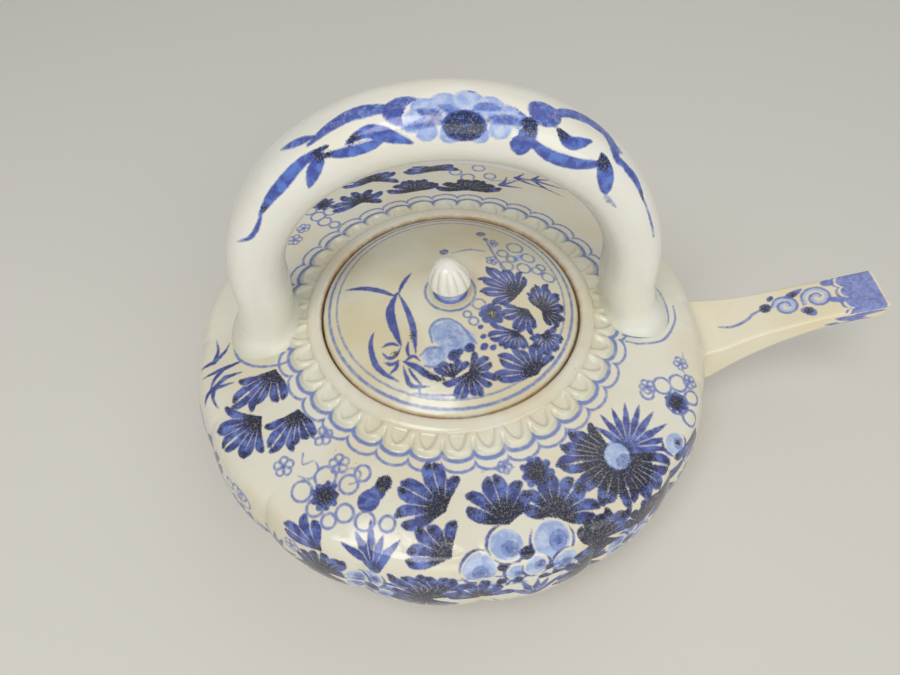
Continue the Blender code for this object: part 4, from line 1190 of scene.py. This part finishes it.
arch = even(np.vstack([half_arch(-1), half_arch(1)[-2::-1]]), 0.5)
tangent = np.gradient(arch, axis=0)
tangent /= np.linalg.norm(tangent, axis=1)[:, None]
down = smooth(62.0, 54.0, arch[:, 1])[:, None]
upright = np.stack([np.zeros(len(arch)), np.where(np.arange(len(arch)) < len(arch) / 2, 1.0, -1.0)],
        axis=-1)
tangent = tangent * (1 - down) + upright * down
tangent /= np.linalg.norm(tangent, axis=1)[:, None]
psi = np.linspace(0.0, 2 * np.pi, 361)
power = 2.0 / SQUARE
section = np.stack([HALF_THICK * np.sign(np.cos(psi)) * np.abs(np.cos(psi)) ** power,
                    HALF_WIDE * np.sign(np.sin(psi)) * np.abs(np.sin(psi)) ** power], axis=-1)
section_run = np.concatenate([[0.0], np.cumsum(np.linalg.norm(np.diff(section, axis=0), axis=1))])
ring_points = even(section, 0.44)[:-1]
across, sideways = ring_points[:, 0] / HALF_THICK, ring_points[:, 1] / HALF_WIDE
over_ground = arch[:, 1] - shoulder_z(np.abs(arch[:, 0]))
flare = 2.9 * np.exp(-np.clip(over_ground, 0.0, None) / 2.3) + 0.4 * np.exp(-np.clip(over_ground, 0.0,
        None) / 7.0)
thick, wide = (HALF_THICK + flare)[:, None] * across, (HALF_WIDE + flare)[:, None] * sideways
handle_grid = np.stack([arch[:, :1] - tangent[:, 1:] * thick, wide, arch[:, 1:] + tangent[:, :1] * thick],
        axis=-1)
ground = shoulder_z(np.hypot(handle_grid[..., 0], handle_grid[..., 1])) - BURIED
middle_ground = shoulder_z(np.abs(arch[:, 0]))[:, None] - BURIED
settle = smooth(58.0, 47.5, arch[:, 1])[:, None]
handle_grid[..., 2] += settle * (ground - middle_ground)
handle_grid[..., 2] = np.maximum(handle_grid[..., 2], ground - 0.4)

# %% Painting on the handle
along_arch = np.concatenate([[0.0], np.cumsum(np.linalg.norm(np.diff(arch, axis=0), axis=1))])
print("the arch is", round(along_arch[-1], 1), "mm long")
round_section = np.arange(len(across)) * section_run[-1] / len(across)
round_section = np.where(round_section > section_run[-1] / 2, round_section - section_run[-1],
        round_section)


PEONY = (102, -7.6)      # middle of the full flower, mm along the arch and mm round the section


def strap_scroll(sheet):
    """The flowering scroll over the top of the arch: leaves, a full flower, and curled tendrils. The places
    are mm along the arch and mm round the section, negative towards the front. Each leaf's last number is
    its coat, and a small one is watery."""
    for path, width, full in (([(41.7, -8.4), (45.5, -11.1), (50, -11.3), (55, -10)], 1.2, 0.5),
            ([(52.5, -10.4), (58, -9.8), (62.4, -9.4), (69.2, -8.2), (75.5, -7.8)], 2.9, 0.5),
            ([(74, -9), (70.7, -10.8), (66.6, -13.6)], 3.0, 0.5), ([(65, -2), (69.3, -3.3), (73.2, -4.4)],
            2.3, 0.25), ([(71.5, -5.6), (79.8, -3.1), (84.7, -3.2), (90, -4.6)], 3.8, 0.22),
            ([(73.5, -9), (78.2, -10.5), (83.2, -10.9), (87, -10.2)], 2.4, 0.6),
            ([(79.2, -8.9), (83.3, -7.9), (85.9, -8.8), (88.6, -10.4), (92, -12.2)], 3.2, 0.5),
            ([(115.4, -6), (114.1, -9.9), (114.8, -13.6)], 5.4, 0.5), ([(114.3, -9.5), (120.6, -12.1),
            (127.4, -11.5), (134, -8.2)], 3.0, 0.9), ([(120.8, -6.2), (124.3, -8), (129, -5.3)], 3.0, 0.5),
            ([(119.5, -3.6), (123, -0.6), (128.6, 1.2), (134, 0.2), (136, -4.5), (137.5, -6)], 4.0, 0.22),
            ([(132, -6.8), (135.1, -9.9), (139.2, -13.4)], 4.2, 0.9), ([(134.5, -4.4), (140.1, -5.3),
            (144, -5.7), (148.6, -7.5)], 2.6, 0.3), ([(134.6, -1.8), (138.4, -1.9)], 2.2, 0.12),
            ([(138.6, -13.4), (141, -13.9), (144.4, -13.7)], 1.2, 0.0)):
        stroke(sheet, "leaf", path, width, "blade", full)
    stroke(sheet, "line", [(147.5, -7.2), (154.4, -8.2), (160, -8.8)], 0.8)
    for x, v, size in ((90.9, -4.9, 3.7), (118, -3.3, 3.6)):
        blot(sheet, "leaf", (x, v), size, 1.05, 20, 0.22)
        blot(sheet, "leaf", (x - 1, v - 1), size * 0.45, full=0.4)
    for x, v, size in ((94.8, -5.0, 2.4), (92.6, -8, 2.2), (95, -10.2, 2.1), (98.7, -4.2, 2.8),
            (103, -3.5, 2.9), (107.3, -4.6, 2.7), (110.8, -6.2, 2.4), (113, -7, 1.8), (109.3, -9.2, 2.2),
            (105.5, -10.9, 1.9), (99.5, -10.9, 2.1), (102, -8, 4.0)):
        blot(sheet, "wash", (x, v), size)
        ring(sheet, (x, v), size * 0.95, 0.6, "leaf")
    from_peony = np.hypot(sheet["flat"][:, 0] - PEONY[0], (sheet["flat"][:, 1] - PEONY[1]) * 1.7)
    sheet["leaf"] = np.where(from_peony < 11.5, np.minimum(sheet["leaf"], -0.20), sheet["leaf"])
    for path in ([(91, -9), (96, -8.2), (99, -8.6)], [(106, -8), (110, -7.2), (114, -7.4)],
                 [(97.5, -5), (100, -6), (101, -7.5)], [(104, -5.6), (106.5, -4.8), (109, -5)],
                 [(93.5, -5.5), (96, -6.6), (98, -7)]):
        stroke(sheet, "leaf", path, 2.2, "blade", 0.1)
    blot(sheet, "leaf", (102.3, -9.2), 4.3, 1.3, full=0.6)
    blot(sheet, "dark", (102.3, -9.2), 3.8, 1.3, full=0.35)
    for x, v, size, full in ((74.2, -8.4, 2.2, 0.5), (80.6, -8.2, 1.3, 0.4), (115, -7.6, 1.9, 0.3),
            (121.8, -6.8, 1.5, 0.5), (133.2, -8, 1.9, 0.4), (147.4, -7, 1.1, 0.3), (54.6, -10.4, 1.0, 0.2)):
        blot(sheet, "dark", (x, v), size, full=full)
    within_leaf(sheet, "leaf", "line")


strap_map = np.stack(np.broadcast_arrays(along_arch[:, None], round_section[None, :]), axis=-1).reshape(-1,
        2)
handle_sheet = blank(strap_map)
strap_scroll(handle_sheet)
handle_height = handle_grid[..., 2] - ground
handle_pool = 0.55 * np.exp(-(handle_height / 2.4) ** 2)
handle = grid_piece("handle", handle_grid, whiter_glaze_with_painted_light, poles=((arch[0, 0], 0.0,
        handle_grid[0, :, 2].min()), (arch[-1, 0], 0.0, handle_grid[-1, :, 2].min())),
        values=values_of(handle_sheet, handle_pool, np.zeros(handle_pool.shape)))
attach(handle, "pot")
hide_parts("handle_strap", "handle_foot_left", "handle_foot_right")

# %% [markdown]
# ## Spout
# The spout was folded from slabs: a boat-shaped channel under a flat top, narrow at the tip. It is one
# hollow surface here, which runs out along the outside, round the lip, and back down the bore. A scroll of
# two spirals runs along its top, and a panel of blue wash with a scalloped start covers the tip.

# %% Spout shape
BURY = 1.0        # how far the root goes into the body's side
STATIONS = np.array([      # x, top z, side height, depth, half width
    (78.4, 33.2, 17.8, 24.8, 11.3), (84.0, 35.3, 15.0, 22.6, 9.9), (93.0, 38.4, 11.5, 17.6, 8.2),
    (103.0, 41.7, 7.8, 13.2, 7.5), (114.0, 45.1, 5.6, 10.8, 7.0), (122.0, 47.4, 5.2, 10.3, 7.0),
    (130.0, 49.4, 5.2, 10.2, 7.1)])
SPOUT_WALL, SPOUT_KEEL, CORNER = 1.9, 0.55, 1.0


def boat(top, side, depth, half, inset):
    """A section from the middle of the top round by +Y: its corners are small arcs, its legs even rows."""
    wide, keel, roof = half - inset, half * SPOUT_KEEL - inset / 2, top - inset * 0.95
    corners = [(0.0, roof), (wide, roof), (wide, top - side), (keel, top - depth + inset),
               (-keel, top - depth + inset), (-wide, top - side), (-wide, roof)]
    arcs = rounded(np.array(corners[1:]), CORNER * (1.0 if inset < 1.0 else 0.8), 6).reshape(6, 6, 2)
    out = []
    counts = (14, 12, 12, 10, 12, 12, 14)
    stops = [np.array([corners[0]]), *arcs, np.array([corners[0]])]
    for one, two, count in zip(stops, stops[1:], counts):
        leg = np.linspace(0.0, 1.0, count + 1)[1:-1, None]
        out += [one, one[-1] * (1 - leg) + two[0] * leg]
    return np.vstack(out)


fine = through(STATIONS, 26)
marks = np.arange(STATIONS[0, 0], STATIONS[-1, 0] + 0.01, MESH_STEP)
fine = np.stack([np.interp(marks, fine[:, 0], fine[:, k]) for k in range(5)], axis=-1)
outer, bore = [], []
for x, top, side_h, depth_h, half in fine:
    swell = 1.3 * math.exp(-(x - marks[0]) / 1.8)
    for rows, inset in ((outer, -swell), (bore, SPOUT_WALL)):
        yz = boat(top, side_h, depth_h, half, inset)
        root_x = np.sqrt(side_radius(yz[:, 1]) ** 2 - yz[:, 0] ** 2) - BURY
        share = min(1.0, (x - marks[0]) / 5.6)
        rows.append(np.column_stack([root_x + (x - root_x) * share, yz]))
x, top, side_h, depth_h, half = fine[-1]
lip = [np.column_stack([np.full(len(outer[0]), x + push), boat(top, side_h, depth_h, half, inset)])
       for push, inset in ((0.25, 0.10), (0.48, 0.35), (0.6, 0.75), (0.6, 1.15), (0.48, 1.55), (0.25, 1.8))]
spout_grid = np.array(outer + lip + bore[::-1])
round_top = np.linalg.norm(np.diff(spout_grid, axis=1, append=spout_grid[:, :1]), axis=2)
run = np.concatenate([np.zeros((len(spout_grid), 1)), np.cumsum(round_top, axis=1)[:, :-1]], axis=1)
girth = round_top.sum(axis=1, keepdims=True)
spout_map = np.stack([spout_grid[..., 0], np.where(run > girth / 2, run - girth, run)], axis=-1)


# %% Painting on the spout
def curl(sheet, centre, outer_r, inner_r, start, width, load):
    """A spiral of one and a half turns that closes from the outer radius to the inner one."""
    turns = np.linspace(0.0, 1.5, 13)
    stroke(sheet, load, [polar(centre, outer_r + (inner_r - outer_r) * k / 1.5,
            start - 360 * k) for k in turns], width)


PANEL_START, PANEL_END = 121.2, 129.4      # x of the washed tip
PANEL_LOBE = 4.1                           # mm, width of one scallop at its start


def spout_scroll(sheet):
    """A thin stem, two spirals with leaves between, and the washed tip with its scalloped start."""
    stroke(sheet, "line", [(84.5, -1.6), (88, -2.7), (92, -1.7), (95, 0.2), (98, 1.2)], 0.95)
    blot(sheet, "leaf", (98.5, 1.2), 1.7, full=0.5)
    blot(sheet, "dark", (98.5, 1.2), 1.5, full=0.5)
    for centre, size, start in (((104, 0.2), 4.0, 170), ((113, 0.8), 4.6, 200)):
        for load, inset, wide in (("wash", 0.55, 1.5), ("line", 0.0, 0.8)):
            curl(sheet, centre, size - inset, 1.2 - inset, start, wide, load)
    for path, width in (([(104.5, 3.4), (107, 3.9), (110, 5.2)], 2.2),
            ([(107.5, -2.4), (109.4, -3.4), (110.4, -5)], 3.0), ([(115, -0.6), (118, -1.6), (121, -2.4)],
            2.2), ([(115.6, 5.6), (118.8, 5)], 2.6), ([(100, 3.4), (101.5, 5)], 1.6)):
        stroke(sheet, "leaf", path, width, "blade", 0.4)
    blots(sheet, "dark", ((107, 3.8, 1.2), (109.2, -3.2, 1.3), (116.8, 2.2, 1.1), (101, 4.2, 0.8)),
            full=0.4)
    within_leaf(sheet, "leaf")
    x, v = sheet["flat"].T
    lobe = (v / PANEL_LOBE + 0.35) % 1.0 * 2 - 1
    start = PANEL_START - 1.7 * np.sqrt(1 - lobe ** 2)
    panel = np.clip(np.minimum(x - start, PANEL_END - x), FAR, 1.0)
    panel[np.abs(v) > 7.8] = FAR
    sheet["wash"] = np.maximum(sheet["wash"], panel)
    sheet["leaf"] = np.maximum(sheet["leaf"], np.minimum(panel, 0.14))
    sheet["dark"] = np.maximum(sheet["dark"], np.minimum(panel, 1.0) - 1.75)
    sheet["line"] = np.maximum(sheet["line"], np.where(np.abs(v) < 7.0, 0.42 - np.abs(x - start + 1.2),
            FAR))
    for side in (-1, 1):
        for path, width in (([(116, 8.6), (120, 9.8), (125, 10.6)], 2.4),
                ([(119, 12.4), (123, 12), (128.5, 13)], 2.4), ([(121, 8.6), (125, 8.9), (129.4, 8.8)], 1.8),
                ([(114, 10.8), (117, 11.6), (120, 13.6)], 1.6)):
            stroke(sheet, "leaf", [(along, side * off) for along, off in path], width, "blade", 0.3)


spout_sheet = blank(spout_map.reshape(-1, 2))
spout_scroll(spout_sheet)
in_bore = np.zeros(spout_grid.shape[:2], bool)
in_bore[len(outer) + 2:] = True
for load in LOADS:
    spout_sheet[load][in_bore.ravel()] = FAR
spout_pool = 0.35 * np.exp(-(spout_grid[..., 0] - marks[0]) / 2.0) * ~in_bore
spout_stain = 0.25 * np.exp(-((spout_grid[..., 0] - STATIONS[-1, 0] - 0.4) / 0.5) ** 2)
spout = grid_piece("spout", spout_grid, spout_glaze, loop=True,
                   values=values_of(spout_sheet, spout_pool, spout_stain))
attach(spout, "pot")
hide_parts("spout_trough", "spout_cover")
